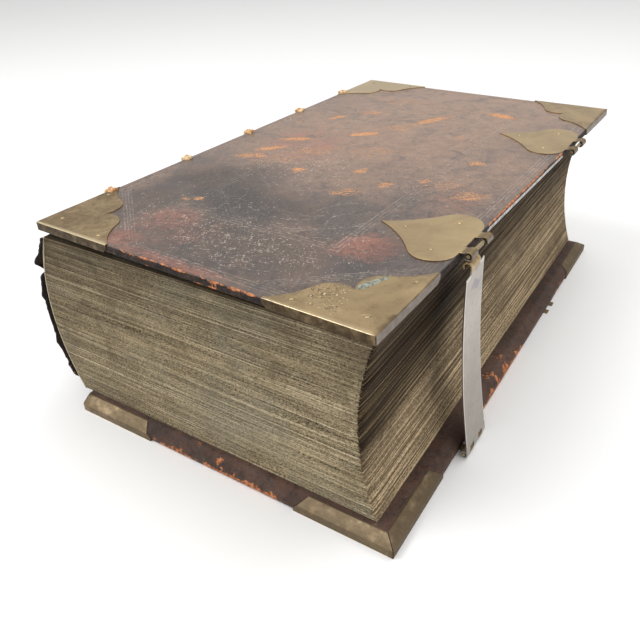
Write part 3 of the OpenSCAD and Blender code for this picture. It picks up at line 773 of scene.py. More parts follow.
def board_skin():
    """The leather round a board, in the cover's own space: tooled face, rounded edges, bevels and turn-ins.

    Gives its points, its faces and how many of the points are on its outer side."""
    half_w, half_l = HALF_W - EDGE_ROUND, HALF_L - EDGE_ROUND
    gx, gy = np.meshgrid(fillet_lines(half_w), fillet_lines(half_l), indexing="ij")
    points = [xyz(gx, gy, BRASS_T)]
    index = np.arange(gx.size).reshape(gx.shape)
    faces = quads(index)
    loop = border(index)
    share = points[0][loop, :2] / [half_w, half_l]
    # Rings of the skin's section: inset at the fore-edge, tail and head, inset at the spine, and depth
    ridge_z, inner_z = BRASS_T + EDGE_H, BRASS_T + BOARD_T
    rings = []
    for a in np.radians((25, 50, 75, 90)):
        inset = EDGE_ROUND * (1 - math.sin(a))
        rings.append((inset, inset, BRASS_T + EDGE_ROUND * (1 - math.cos(a))))
    rings += [(0, 0, BRASS_T + z) for z in (2.2, 3.2, 4.2)] + [(0.12, 0, ridge_z - 0.2)]
    for t in (0.08, 0.3, 0.55, 0.8, 0.96):
        rings.append((BEVEL_W * t, 0.0 if t < 0.9 else 0.15, ridge_z + (BOARD_T - EDGE_H) * t))
    rings += [(BEVEL_W + 0.8, 0.9, inner_z), (13, 9, inner_z), (TURN_IN, TURN_IN, inner_z)]
    outer_points = gx.size + len(rings) * len(loop)
    rings += [(TURN_IN, TURN_IN, inner_z - LEATHER_T), (BEVEL_W + 1.2, LEATHER_T, inner_z - LEATHER_T),
              (LEATHER_T, LEATHER_T, ridge_z - 0.3), (LEATHER_T, LEATHER_T, BRASS_T + LEATHER_T)]
    last, start = loop, gx.size
    for fore, spine, z in rings:
        x0, x1, hy = -HALF_W + spine, HALF_W - fore, HALF_L - fore
        x = (x0 + x1) / 2 + share[:, 0] * (x1 - x0) / 2
        points.append(xyz(x, share[:, 1] * hy, z))
        now = np.arange(start, start + len(loop))
        faces += ring_quads(np.stack([last, now]))
        last, start = now, start + len(loop)
    faces.append(last.tolist())
    return np.concatenate(points), faces, outer_points


# Marks placed as in the photograph: x and y from the spine edge and the tail edge, half length, half
# width, turn in degrees and strength
SCUFFS = [
    (48, 198, 16, 5.5, 50, 0.85), (53, 229, 16, 5.0, 32, 0.85), (100, 270, 17, 5.5, 42, 0.95),
    (49, 302, 11, 5, 60, 0.85), (101, 168, 8, 6, 30, 0.85), (144, 189, 8, 5, 60, 0.8),
    (177, 174, 10, 7, 60, 0.65), (45, 176, 15, 8, 25, 0.7), (157, 147, 16, 8, 50, 0.55),
    (135, 334, 26, 6.5, 62, 0.78), (188, 377, 16, 6.5, 170, 0.95), (239, 182, 18, 9, 33, 0.65),
    (218, 246, 8, 5, 30, 0.75), (198, 192, 7, 4, 70, 0.7), (71, 85, 4, 3, 10, 0.8), (63, 80, 4, 2.5, 10, 0.8),
    (70, 330, 13, 8, 40, 0.6), (180, 300, 10, 5, 60, 0.5), (120, 300, 22, 14, 45, 0.5),
    (85, 210, 26, 12, 40, 0.5), (70, 180, 24, 14, 40, 0.45), (130, 230, 30, 16, 45, 0.42),
    (80, 380, 30, 14, 30, 0.42), (215, 190, 20, 10, 30, 0.45),
]
RUDDY = [
    (80, 48, 30, 24, 30, 0.70), (72, 14, 18, 12, 0, 0.85), (125, 5, 54, 7, 0, 0.75),
    (214, 78, 28, 20, 25, 0.82), (235, 170, 24, 44, 0, 0.5), (120, 250, 60, 50, 0, 0.35),
    (110, 40, 40, 22, 40, 0.55), (70, 220, 50, 60, 0, 0.58), (180, 40, 40, 30, 0, 0.35),
    (140, 360, 90, 50, 0, 0.3),
]
BLACK = [
    (84, 106, 56, 30, 150, 0.80), (56, 126, 40, 24, 40, 0.80), (126, 100, 38, 26, 0, 0.70),
    (112, 74, 40, 22, 150, 0.5), (195, 122, 50, 22, 0, 0.12), (228, 60, 14, 44, 0, 0.5),
    (150, 45, 70, 34, 0, 0.62), (40, 60, 22, 40, 0, 0.6), (100, 30, 60, 26, 0, 0.45),
]
TAN = [
    (120, 305, 160, 120, 60, 1.0), (60, 215, 50, 50, 0, 0.66), (215, 235, 60, 60, 0, 0.8),
    (140, 400, 150, 60, 0, 1.0),
]
CHALK = [
    (140, 46, 60, 32, 0, 1.0), (110, 80, 50, 34, 0, 0.6), (200, 60, 40, 40, 0, 0.6),
    (90, 180, 60, 40, 0, 0.8), (75, 50, 30, 30, 0, 0.8), (210, 200, 50, 60, 0, 0.5),
]


def blotches(x, y, marks, soft):
    """Weight from 0 to 1 at points of a cover, from a list of soft-edged ellipses."""
    total = np.zeros(len(x))
    for mx, my, long, wide, turn, strength in marks:
        u, v = turned(x - mx, y - my, -math.radians(turn))
        q = np.sqrt((u / long) ** 2 + (v / wide) ** 2)
        total = np.maximum(total, strength * (1 - ramp01(q, 1 - soft, 1 + soft)))
    return total


FADE_OUT, FADE_IN = 12, 6  # how far a stretch of wear fades beyond its ends and before them
UPPER_SEED, LOWER_SEED = 11, 23


def stretches(t, wear):
    """Weight along an edge from stretches of wear, given as (from, to, strength)."""
    total = np.zeros(len(t))
    for a, b, strength in wear:
        rise, fall = ramp01(t, a - FADE_OUT, a + FADE_IN), ramp01(t, b - FADE_IN, b + FADE_OUT)
        total = np.maximum(total, strength * rise * (1 - fall))
    return total


def cover_mesh(name):
    """A cover's leather, still flat and in the cover's own space, and which points are on its outer side."""
    points, faces, outer_points = board_skin()
    bm = bmesh.new()
    skin = bm.verts.layers.float.new("skin")
    made = [bm.verts.new(p) for p in points]
    for v in made[:outer_points]:
        v[skin] = 1.0
    for f in faces:
        bm.faces.new([made[i] for i in f])
    refine_scrolls(bm)
    cut_diagonals(bm)
    mesh = bpy.data.meshes.new(name)
    bm.to_mesh(mesh)
    bm.free()
    outer = np.zeros(len(mesh.vertices), np.float32)
    mesh.attributes["skin"].data.foreach_get("value", outer)
    mesh.attributes.remove(mesh.attributes["skin"])
    return mesh, outer > 0.2


def cover_leather(name, place, body, node, tail_wear, fore_wear, bare, soot):
    """A cover's leather with its tooling, stains and edges worn in stretches of (from, to, strength)."""
    upper = name.startswith("upper")
    seed = UPPER_SEED if upper else LOWER_SEED
    mesh, outer = cover_mesh(name)
    p = points_of(mesh)
    dx, dy = edge_distance(p[:, 0], p[:, 1])
    to_edge = np.minimum(dx, dy)
    face = (p[:, 2] < FACE_Z) & outer
    wall = outer & ~face & (p[:, 2] < BRASS_T + EDGE_H)
    # Tooled grooves, an uneven face and crumbled walls
    faded = np.clip(0.55 + 0.45 * lattice(p, 45, seed + 3), 0.15, 1)
    tool = tooling(p[:, 0], p[:, 1]) * face * faded
    sway = fractal(p, 38, seed, 3) * 0.16 + fractal(p, 6, seed + 5, 2) * 0.05
    p[:, 2] += np.where(face, tool * TOOL_DEPTH - np.minimum(sway, 0.12) * to_edge.clip(0, 6) / 6, 0)
    crumble = np.where(wall, fractal(p, 5, seed + 8, 3) * 0.22 + fractal(p, 1.9, seed + 9, 2) * 0.10, 0)
    for axis, near in ((0, dx < dy), (1, dx >= dy)):
        p[:, axis] -= np.where(near, np.sign(p[:, axis]) * np.abs(crumble), 0)
    move_points(mesh, place(p))
    mesh.update()
    outward(mesh)
    smooth(mesh, 50)
    obj = linked(name, mesh)
    x, y = p[:, 0] + COVER_W / 2, p[:, 1] + COVER_L / 2
    bent_x, bent_y = x + 9 * fractal(p, 26, 301), y + 9 * fractal(p, 26, 311)

    def marks(which, soft):
        return blotches(bent_x, bent_y, which, soft) * (face & upper)

    # Worn edges: the rounded outer edge and the ridge of the bevel, most where the photograph shows it
    drop = np.clip(p[:, 2] - BRASS_T, 0, None)
    climb = drop * (1.0 if upper else 0.28) + 0.8 * fractal(p, 5, seed + 14)
    rim = 1 - ramp01(np.maximum(to_edge, climb) - 0.2, 0.3, 1.9)
    ridge = np.exp(-((drop - EDGE_H) / 1.2) ** 2)
    base = 0.14 + 0.16 * lattice(p, 24, seed + 12)
    tail, fore = (dy < dx) & (p[:, 1] < 0), (dx <= dy) & (p[:, 0] > 0)
    strong = np.maximum(stretches(x, tail_wear) * tail, stretches(y, fore_wear) * fore)
    chips = ramp01(fractal(p, 7, seed + 31), 0.05, 0.45) * ~face
    low_wall = ramp01(drop, 1.6, 2.4) * (1 - ramp01(drop, EDGE_H, EDGE_H + 1.5)) * (to_edge < 2.5)
    paint(
        obj,
        scuff=blotches(x + 2 * lattice(p, 7, 321), y + 2 * lattice(p, 7, 331), SCUFFS, 0.6) * (face & upper),
        tan=marks(TAN, 0.5),
        chalk=marks(CHALK, 0.7),
        tool=tool,
        edge=np.where(outer, np.maximum(rim, 0.4 * ridge) * (base + strong) + 1.05 * strong * chips, 0),
        bare=np.where(outer, low_wall * stretches(y, bare) * fore, 0),
        black=np.where(face, marks(BLACK, 0.7), soot * outer),
        ruddy=np.where(face, marks(RUDDY, 0.7), 0.5 * outer),
    )
    finish_piece(obj, body, "cover_leather", replaces=[node])
    mesh.materials.append(MATERIALS["edge_leather"])
    level = np.array([np.mean(p[list(f.vertices), 2]) for f in mesh.polygons])
    mesh.polygons.foreach_set("material_index", (level > WALL_Z).astype(np.int32))


cover_leather("upper_cover_leather", front, "front_cover", "upper_leather",
              [(85, 205, 0.50), (205, 262, 0.25)], [(143, 305, 0.52)], [(143, 305, 0.9)], 0.95)
cover_leather("lower_cover_leather", book, "back_cover", "lower_leather",
              [(75, 120, 0.62), (120, 185, 0.74)], [(132, 240, 0.62), (330, 372, 0.40)], [], 0.40)


# ---- text block

LEAF_ROWS, GATHERING, CLEAN_INSET = 330, 11, 15
TAIL_COLUMNS, FORE_COLUMNS, SPINE_COLUMNS = 49, 78, 30
TAIL, FORE, HEAD, SPINE = range(4)


def page_block():
    """The leaves' edges, one row of points a leaf, and the two outermost leaves."""
    z = np.linspace(BLOCK_Z0, BLOCK_Z1, LEAF_ROWS)
    dz = z - BLOCK_MID_Z
    spine_x = SPINE_CX - np.sqrt(SPINE_R ** 2 - dz ** 2)
    hollow_x = HOLLOW_CX - np.sqrt(np.maximum(HOLLOW_R ** 2 - dz ** 2, 0))
    fore_x = np.where(np.abs(dz) < BLOCK_HALF_H - FORE_LIP, hollow_x, FORE_X)
    t = np.concatenate([np.linspace(0, 0.97, TAIL_COLUMNS), [0.982, 0.992, 1.0]])
    s = np.concatenate([[0, 0.005, 0.012], np.linspace(0.022, 0.978, FORE_COLUMNS), [0.988, 0.995, 1.0]])
    length = BLOCK_Y1 - BLOCK_Y0
    # Columns round the block: x of every row, y, outward direction and side
    columns = [(spine_x + k * (fore_x - spine_x), BLOCK_Y0, (0, -1), TAIL) for k in t[:-1]]
    columns += [(fore_x, BLOCK_Y0 + k * length, (1, 0), FORE) for k in s[:-1]]
    columns += [(spine_x + k * (fore_x - spine_x), BLOCK_Y1, (0, 1), HEAD) for k in t[:0:-1]]
    down = np.linspace(1, 0, SPINE_COLUMNS)
    columns += [(spine_x, BLOCK_Y0 + k * length, (-1, 0), SPINE) for k in down[:-1]]
    loop_x, loop_y, normal, side = zip(*columns)
    shape = LEAF_ROWS, len(columns)
    x, y, side = np.stack(loop_x, 1), np.array(loop_y), np.array(side)
    nx, ny = np.array(normal).T
    flat = xyz(x, y, z[:, None])
    # Leaves stand in or out a little, in gatherings, and wander along the edge
    rng = np.random.default_rng(41)
    leaf = rng.normal(0, 1, LEAF_ROWS)
    gather = np.repeat(rng.normal(0, 1, LEAF_ROWS // GATHERING + 1), GATHERING)[:LEAF_ROWS]
    wander = lattice(flat * [1, 1, 5.5], 34, 5).reshape(shape)
    ragged = lattice(flat * [1, 1, 14], 16, 9).reshape(shape)
    out = 0.16 * leaf[:, None] * (0.75 + 0.5 * wander) + 0.20 * gather[:, None]
    out = out + 0.28 * wander + 0.14 * ragged - 0.45
    from_corner = np.concatenate([t[:-1] - 1, s[:-1], np.full(shape[1] - len(t) - len(s) + 2, 9.0)])
    near_corner = np.exp(-np.abs(from_corner) / 0.010)
    out = out - near_corner * np.abs(rng.normal(0, 0.85, LEAF_ROWS))[:, None]
    out = np.where(side == SPINE, -0.05, out)
    wave = fractal(flat * [1, 1, 0.5], 70, 15, 2).reshape(shape) * 0.55
    ends = np.minimum(np.arange(LEAF_ROWS), np.arange(LEAF_ROWS)[::-1]) / 6.0
    zz = z[:, None] + wave * np.clip(ends, 0, 1)[:, None] * (side != SPINE)
    points = xyz(x + out * nx, y + out * ny, zz)
    index = np.arange(zz.size).reshape(shape)
    faces = ring_quads(index)
    # The outermost leaves: a soiled border round clean paper
    middle = (points.min(0) + points.max(0)) / 2
    share = 1 - CLEAN_INSET / (points.max(0) - middle)[:2]
    for row in (index[0], index[-1]):
        inset = points[row].copy()
        inset[:, :2] = middle[:2] + (inset[:, :2] - middle[:2]) * share
        ring = np.arange(len(points), len(points) + len(row))
        points = np.concatenate([points, inset])
        faces += ring_quads(np.stack([row, ring])) + [ring.tolist()]
    obj = add_object("page_block", book(points), faces, 40)
    # Dirt and painted shade: darker under the front cover and on the fore-edge, most near its top tail corner
    height = (points[:, 2] - BLOCK_Z0) / (BLOCK_Z1 - BLOCK_Z0)
    on_fore = np.tile(side == FORE, LEAF_ROWS + 2)
    along = np.clip((points[:, 1] - BLOCK_Y0) / 200, 0, 1)
    across = np.clip((points[:, 0] - SHOULDER_X) / (FORE_X - SHOULDER_X), 0, 1)
    fore_dirt = 0.04 + 0.34 * along + 0.3 * ramp01(height, 0.9, 1)
    fore_dirt += 1.62 * ramp01(height, 0.30 * along, 0.80 + 0.15 * along) * (1 - 0.60 * along)
    # The narrow band just under the front cover is painted shade
    tail_dirt = 0.30 + 0.24 * ramp01(height, 0.40, 1) + 0.25 * ramp01(height, 0.97, 1)
    tail_dirt += 0.14 * (1 - ramp01(across, 0, 0.5)) - 0.28 * across * (1 - height)
    paint(obj, dirt=np.where(on_fore, fore_dirt, tail_dirt), fore=on_fore,
          sheet=np.arange(len(points)) >= zz.size)
    finish_piece(obj, "text_block", "pages", replaces=["text_block"])


page_block()


# ---- metal pieces: the CAD solids with rounded edges and the slight unevenness of hand-cut sheet

CUT_ROUND, GRID_MM = 0.16, 4.0
SHARP_ANGLE, FOLD_AREA = math.radians(32), 60
LEVELS_MM = np.array([0.2, 0.5, 0.9, 2.0])  # cuts below the outer face, for the paint on folds and walls
TINY_EDGE, SAME_POINT = 0.06, 0.001


def weld(bm, gap_mm):
    """Joins points that are closer than the gap and drops the faces that this flattens."""
    bmesh.ops.remove_doubles(bm, verts=bm.verts, dist=gap_mm * MM)
    bmesh.ops.dissolve_degenerate(bm, dist=1e-7, edges=bm.edges)


def bisect(bm, place, normal, **options):
    bmesh.ops.bisect_plane(bm, geom=bm.verts[:] + bm.edges[:] + bm.faces[:], dist=1e-7, plane_co=place,
                           plane_no=normal, **options)


def rounded_copy(node, fold_mm, grid_mm, cut):
    """A copy of a node's mesh with rounded folds and edges, split into a grid and cut off at a plane."""
    bm = bmesh.new()
    bm.from_mesh(frame["nodes"][node].data)
    bmesh.ops.remove_doubles(bm, verts=bm.verts, dist=2e-6)
    bmesh.ops.dissolve_limit(bm, angle_limit=math.radians(0.5), verts=bm.verts, edges=bm.edges)
    if cut:
        bisect(bm, *cut, clear_outer=True)
        bmesh.ops.holes_fill(bm, edges=[e for e in bm.edges if e.is_boundary])

    def sharp(area_mm2):
        return [e for e in bm.edges if len(e.link_faces) == 2 and e.calc_face_angle(0) > SHARP_ANGLE
                and min(f.calc_area() for f in e.link_faces) > area_mm2 * MM * MM]

    if fold_mm:
        folds = [e for e in sharp(FOLD_AREA) if e.is_convex]
        bmesh.ops.bevel(bm, geom=folds, offset=fold_mm * MM, segments=3, profile=0.5, affect="EDGES",
                        clamp_overlap=True)
    # A tiny edge would clamp the whole rounding to nothing
    weld(bm, TINY_EDGE)
    bmesh.ops.bevel(bm, geom=sharp(0), offset=CUT_ROUND * MM, segments=2, profile=0.6, affect="EDGES",
                    clamp_overlap=True)
    weld(bm, SAME_POINT)
    if grid_mm:
        lo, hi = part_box(node)
        levels = hi.z - LEVELS_MM * MM if node.startswith(("upper", "catch")) else lo.z + LEVELS_MM * MM
        for axis in range(3):
            normal = Vector([float(k == axis) for k in range(3)])
            for c in levels if axis == 2 else np.arange(lo[axis] + grid_mm * MM, hi[axis], grid_mm * MM):
                bisect(bm, normal * c, normal)
        weld(bm, SAME_POINT)
    mesh = bpy.data.meshes.new(node + "_worked")
    bm.to_mesh(mesh)
    bm.free()
    outward(mesh)
    return linked(node + "_worked", mesh)


def paint_metal(obj, upper, age, pits, shine):
    """Tarnish, pits as (x, y, radius) from the spine and tail edges, folds rubbed bright with a painted
    highlight, a painted sheen, painted shade on the walls and a painted reflection on the upper side walls.
    """
    q = cover_space(points_of(obj.data), upper)
    x, y = q[:, 0] + COVER_W / 2, q[:, 1] + COVER_L / 2
    spots = np.full(len(q), 0.12)
    for px, py, r in pits:
        spots = np.maximum(spots, np.exp(-((x - px) ** 2 + (y - py) ** 2) / r ** 2))
    to_side, to_end = COVER_W / 2 - np.abs(q[:, 0]), COVER_L / 2 - np.abs(q[:, 1])
    to_edge, ends = np.minimum(to_side, to_end), to_end < to_side
    barrel = q[:, 0] > BARREL_CUT
    # Folds rubbed bright, with a painted highlight along them, away from the barrels
    rubbed = 0.8 * (1 - ramp01(np.maximum(to_edge, q[:, 2]), 0.2, 0.5)) * (q[:, 0] < BARREL_CUT)
    # Painted shade on the walls: the upper end walls darkest, the lower side walls more than their ends, the
    # barrels all over. The upper side walls get a painted reflection instead
    walls = ramp01(q[:, 2], 0.15, 0.45) * (to_edge < 9)
    dark = walls * (np.where(ends, 1.0, 0.15) if upper else np.where(ends, 0.15, 0.45))
    paint(obj, pits=spots, age=age + 0.6 * barrel, fold=np.maximum(rubbed, shine),
          wall=np.where(barrel, 0.45, dark), silver=0.75 * walls * ~ends * upper)


def add_shapes(obj, shapes, place):
    """Adds closed shapes, in millimetres of a piece's own space, to an object's mesh."""
    points, faces = merged(shapes)
    bm = bmesh.new()
    bm.from_mesh(obj.data)
    verts = [bm.verts.new(q) for q in place(points)]
    for f in faces:
        bm.faces.new([verts[i] for i in f])
    bmesh.ops.recalc_face_normals(bm, faces=bm.faces)
    bm.to_mesh(obj.data)
    bm.free()


def worked_metal(node, body, slot, age, pits=(), uneven_mm=0.0, fold_mm=0.0, barrels=(), shine=0.0,
                 material=None):
    """A sheet-metal piece from its CAD node. Given barrels take the place of the CAD's closed ones."""
    upper = body == "front_cover"
    place = front if upper else book
    cut = None
    if barrels:
        a, b = place(np.array([[BARREL_CUT, 0, 0], [BARREL_CUT + 1, 0, 0]]))
        cut = (Vector(a), Vector(b - a).normalized())
    obj = rounded_copy(node, fold_mm, GRID_MM if uneven_mm else 0.0, cut)
    if uneven_mm:
        p = points_of(obj.data)
        lo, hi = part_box(node)
        shift = np.minimum(fractal(p / MM, 13, 31, 2), 0.25) * uneven_mm * MM
        p[:, 2] = np.clip(p[:, 2] + (shift if upper else -shift), lo.z, hi.z)
        move_points(obj.data, p)
    if barrels:
        add_shapes(obj, barrels, place)
    paint_metal(obj, upper, age, pits, shine)
    smooth(obj.data, 40)
    finish_piece(obj, body, slot, material, replaces=[node])


# Clasp parts, in a cover's own space: the barrels' axis, and where the flat plate ends and the rolling starts
BARREL_CUT, BARREL_X, BARREL_R, CATCH_Z, HINGE_Z = 134.4, 139.5, 3.0, 1.9, 3.0
SHEET_R = BARREL_R - BRASS_T / 2
# Inner and outer ends of a pair of barrels, from the middle between them
CATCH_ENDS, HINGE_ENDS = (7.5, 16.3), (4.25, 10.55)
CATCH_Y, HINGE_Y = {"near": -106.0, "far": 104.5}, -110.5
OVER = rolled([[BARREL_CUT, 0.375], [135.6, 0.37], [136.6, 0.22]], (BARREL_X, CATCH_Z), SHEET_R, 232, 505)
UNDER = rolled([[BARREL_CUT, 0.375], [136.5, 0.375], [138.3, 0.375]], (BARREL_X, HINGE_Z), SHEET_R, 270, 560)


def barrel_pair(line, y, inner, outer):
    return [bent_sheet(line, BRASS_T, y + a, y + b) for a, b in ((-outer, -inner), (inner, outer))]


AGE = {"tail_fore": 0.15, "head_fore": 0.05, "tail_spine": 0.55, "head_spine": -0.6}
PITS = {"tail_fore": [(222, 22, 17), (236, 12, 9)], "tail_spine": [(50, 45, 12)]}
# A painted sheen that lightens the head spine corner
SHINE = {"head_spine": 0.35}
CORNER_UNEVEN, CORNER_FOLD, CATCH_UNEVEN = 0.14, 0.5, 0.10
for corner, age in AGE.items():
    worked_metal("upper_corner_" + corner, "front_cover", "corner_brass", age, PITS.get(corner, ()),
                 CORNER_UNEVEN, CORNER_FOLD, shine=SHINE.get(corner, 0.0))
    worked_metal("lower_corner_" + corner, "back_cover", "corner_brass", 0.85, (), CORNER_UNEVEN, CORNER_FOLD,
                 material="low_brass")
for side, catch_y in CATCH_Y.items():
    worked_metal("catch_plate_" + side, "front_cover", "plate_brass", 0.1, (), CATCH_UNEVEN,
                 barrels=barrel_pair(OVER, catch_y, *CATCH_ENDS))
worked_metal("hinge_plate_near", "back_cover", "plate_brass", 0.7,
             barrels=barrel_pair(UNDER, HINGE_Y, *HINGE_ENDS))
worked_metal("hinge_plate_far", "back_cover", "plate_brass", 1.2)

# The strap, in its own space: z up from the hinge pin, y along the pin and x outwards
STRAP_LEAN, STRAP_T, STRAP_FOOT, STRAP_TOP, STRAP_SLANT = math.radians(4), 1.2, 4.2, 137.54, 2.5
FOOT_HALF, TAPER, TAPER_Z, TAPER_H = 16.5, 2.5, 3.5, 136.5
BOW_X, BOW, BOW_Z, BOW_HALF_H = 2.9, 3.0, 71.77, 68.27
KNUCKLES, KNUCKLE_T, KNUCKLE_R = ((-16.5, -10.8), (-4, 4), (10.8, 16.5)), 1.14, 2.4
HOOK_HALF, HOOK_T, HOOK_R, HOOK_CENTRE = 7.2, 1.1, 2.6, (-0.2, 141.04)


def strap_place(p):
    """Points of the strap's own space, which leans inwards, as metres in the shared frame."""
    x, z = turned(p[:, 0], p[:, 2], STRAP_LEAN)
    return book(xyz(BARREL_X + x, HINGE_Y + p[:, 1], HINGE_Z + z))


def clasp_strap():
    """The strap: a bowed plate with rounded rims, rolled round the hinge pin below and into a hook above."""
    half = np.array([0.2, 0.45, 0.7, 0.9, 0.97, 0.992, 1])
    u = np.concatenate([-half[::-1], [0], half])
    v = np.concatenate([[0, 0.004], np.linspace(0.02, 0.98, 60), [0.994, 1]])
    vv, uu = np.meshgrid(v, u, indexing="ij")
    z = STRAP_FOOT + vv * (STRAP_TOP + STRAP_SLANT * uu - STRAP_FOOT)
    y = uu * (FOOT_HALF - TAPER * (z - TAPER_Z) / TAPER_H)
    x = BOW_X - BOW * (1 - ((z - BOW_Z) / BOW_HALF_H) ** 2)
    rim = np.maximum(np.select([np.abs(uu) > 0.995, np.abs(uu) > 0.98], [0.34, 0.10], 0.0),
                     np.select([vv > 0.997, vv > 0.99], [0.30, 0.08], 0.0))
    dent = 0.12 * fractal(xyz(x, y, z), 22, 401, 2).reshape(x.shape) - 0.06
    sides = [xyz(s, y, z) for s in (x - rim + np.minimum(dent, 0), x - STRAP_T + rim)]
    plate = np.concatenate(sides), sheet_faces(*z.shape)
    curl = rolled([[2.15, 6.0], [2.28, 4.2], [2.38, 2.0]], (0, 0), KNUCKLE_R, 0, -310)
    knuckles = [bent_sheet(curl, KNUCKLE_T, a, b) for a, b in KNUCKLES]
    tongue = rolled([[1.75, 133.0], [2.05, 136.0], [2.30, 139.0]], HOOK_CENTRE, HOOK_R, 0, 215)
    hook = bent_sheet(tongue, HOOK_T, -HOOK_HALF, HOOK_HALF)
    points, faces = merged([plate, *knuckles, hook])
    obj = add_object("clasp_strap_worked", strap_place(points), faces, 38)

    def on_plate(values):
        """A number for every point, from one for each point of the plate's grid and 0 elsewhere."""
        values = np.tile(values.ravel(), 2)
        return np.concatenate([values, np.zeros(len(points) - len(values))])

    on_hook = np.arange(len(points)) >= len(points) - len(hook[0])
    # The rim marks carry a painted highlight along the plate's rims
    paint(obj, worn=on_hook * ramp01(points[:, 2], 138.0, 139.4),
          edge=on_plate(uu < -0.995) * (points[:, 0] < on_plate(x - 0.30)),
          rim=on_plate((np.abs(uu) > 0.96) | (vv > 0.985)))
    finish_piece(obj, "clasp_strap", "strap_metal", replaces=["clasp_strap"])


clasp_strap()

# The crust's line on the near corner piece, from the spine edge and the tail edge, and its half width there
CRUST = [
    (238.5, 33, 1.2), (239.5, 37, 2.6), (241, 41, 3.0), (243.5, 46, 2.4), (245.5, 51, 2.6), (247, 56, 0.8),
]
CRUST_POINTS, CRUST_SIDES, CRUST_Z = 46, 16, 0.35


def verdigris_crust():
    """A lumpy green crust on the border of the near corner piece."""
    line = resampled(CRUST, CRUST_POINTS)
    width = line[:, 2].copy()
    line = xyz(line[:, 0] - COVER_W / 2, line[:, 1] - COVER_L / 2, CRUST_Z)
    points, faces = tube(line, width * (1 + 0.35 * lattice(line, 2.3, 501)), CRUST_SIDES)
    points = points + 0.9 * np.stack([lattice(points, 1.9, 502 + k) for k in range(3)], 1) * [1, 1, 0.3]
    points[:, 2] = np.clip(CRUST_Z + (points[:, 2] - CRUST_Z) * 0.30, -0.75, 1.2)
    obj = add_object("crust", front(points), faces, 70)
    finish_piece(obj, "front_cover", "corner_brass", "verdigris")


verdigris_crust()

for node, obj in frame["nodes"].items():
    if obj.hide_render:
        continue
    slot = next(s["material_slot"] for s in frame["record"]["subparts"] if s["node"] == node)
    obj.data.materials.clear()
    obj.data.materials.append(MATERIALS[slot])


# ---- spine

SPINE_TAIL, SPINE_HEAD = BLOCK_Y0 - 2.5, BLOCK_Y1 + 1.5
BAND_HALF, BAND_H, BAND_FOOT_H, BAND_CLEAR = 4.4, 1.98 * CORD_R, 1.6, 8
LOWEST_Z = 0.1


def spine_lines():
    """Places of the spine sheet's lines along the book, close at the torn tail and over the bands."""
    ys = [SPINE_TAIL + d for d in (0, 1.5, 4, 8, 14, 22)]
    half = np.array([0.9, 1.8, 2.6, 3.4, 4.2, 5.2, 6.5])
    over_band = np.concatenate([-half[::-1], [0], half])
    for a, b in zip([SPINE_TAIL + 22] + CORD_Y, CORD_Y + [SPINE_HEAD]):
        start, end = a + (BAND_CLEAR if a in CORD_Y else 5), b - (BAND_CLEAR if b in CORD_Y else 0)
        ys += np.linspace(start, end, 9).tolist()
        if b in CORD_Y:
            ys += (b + over_band).tolist()
    return np.unique(np.round(ys, 3))


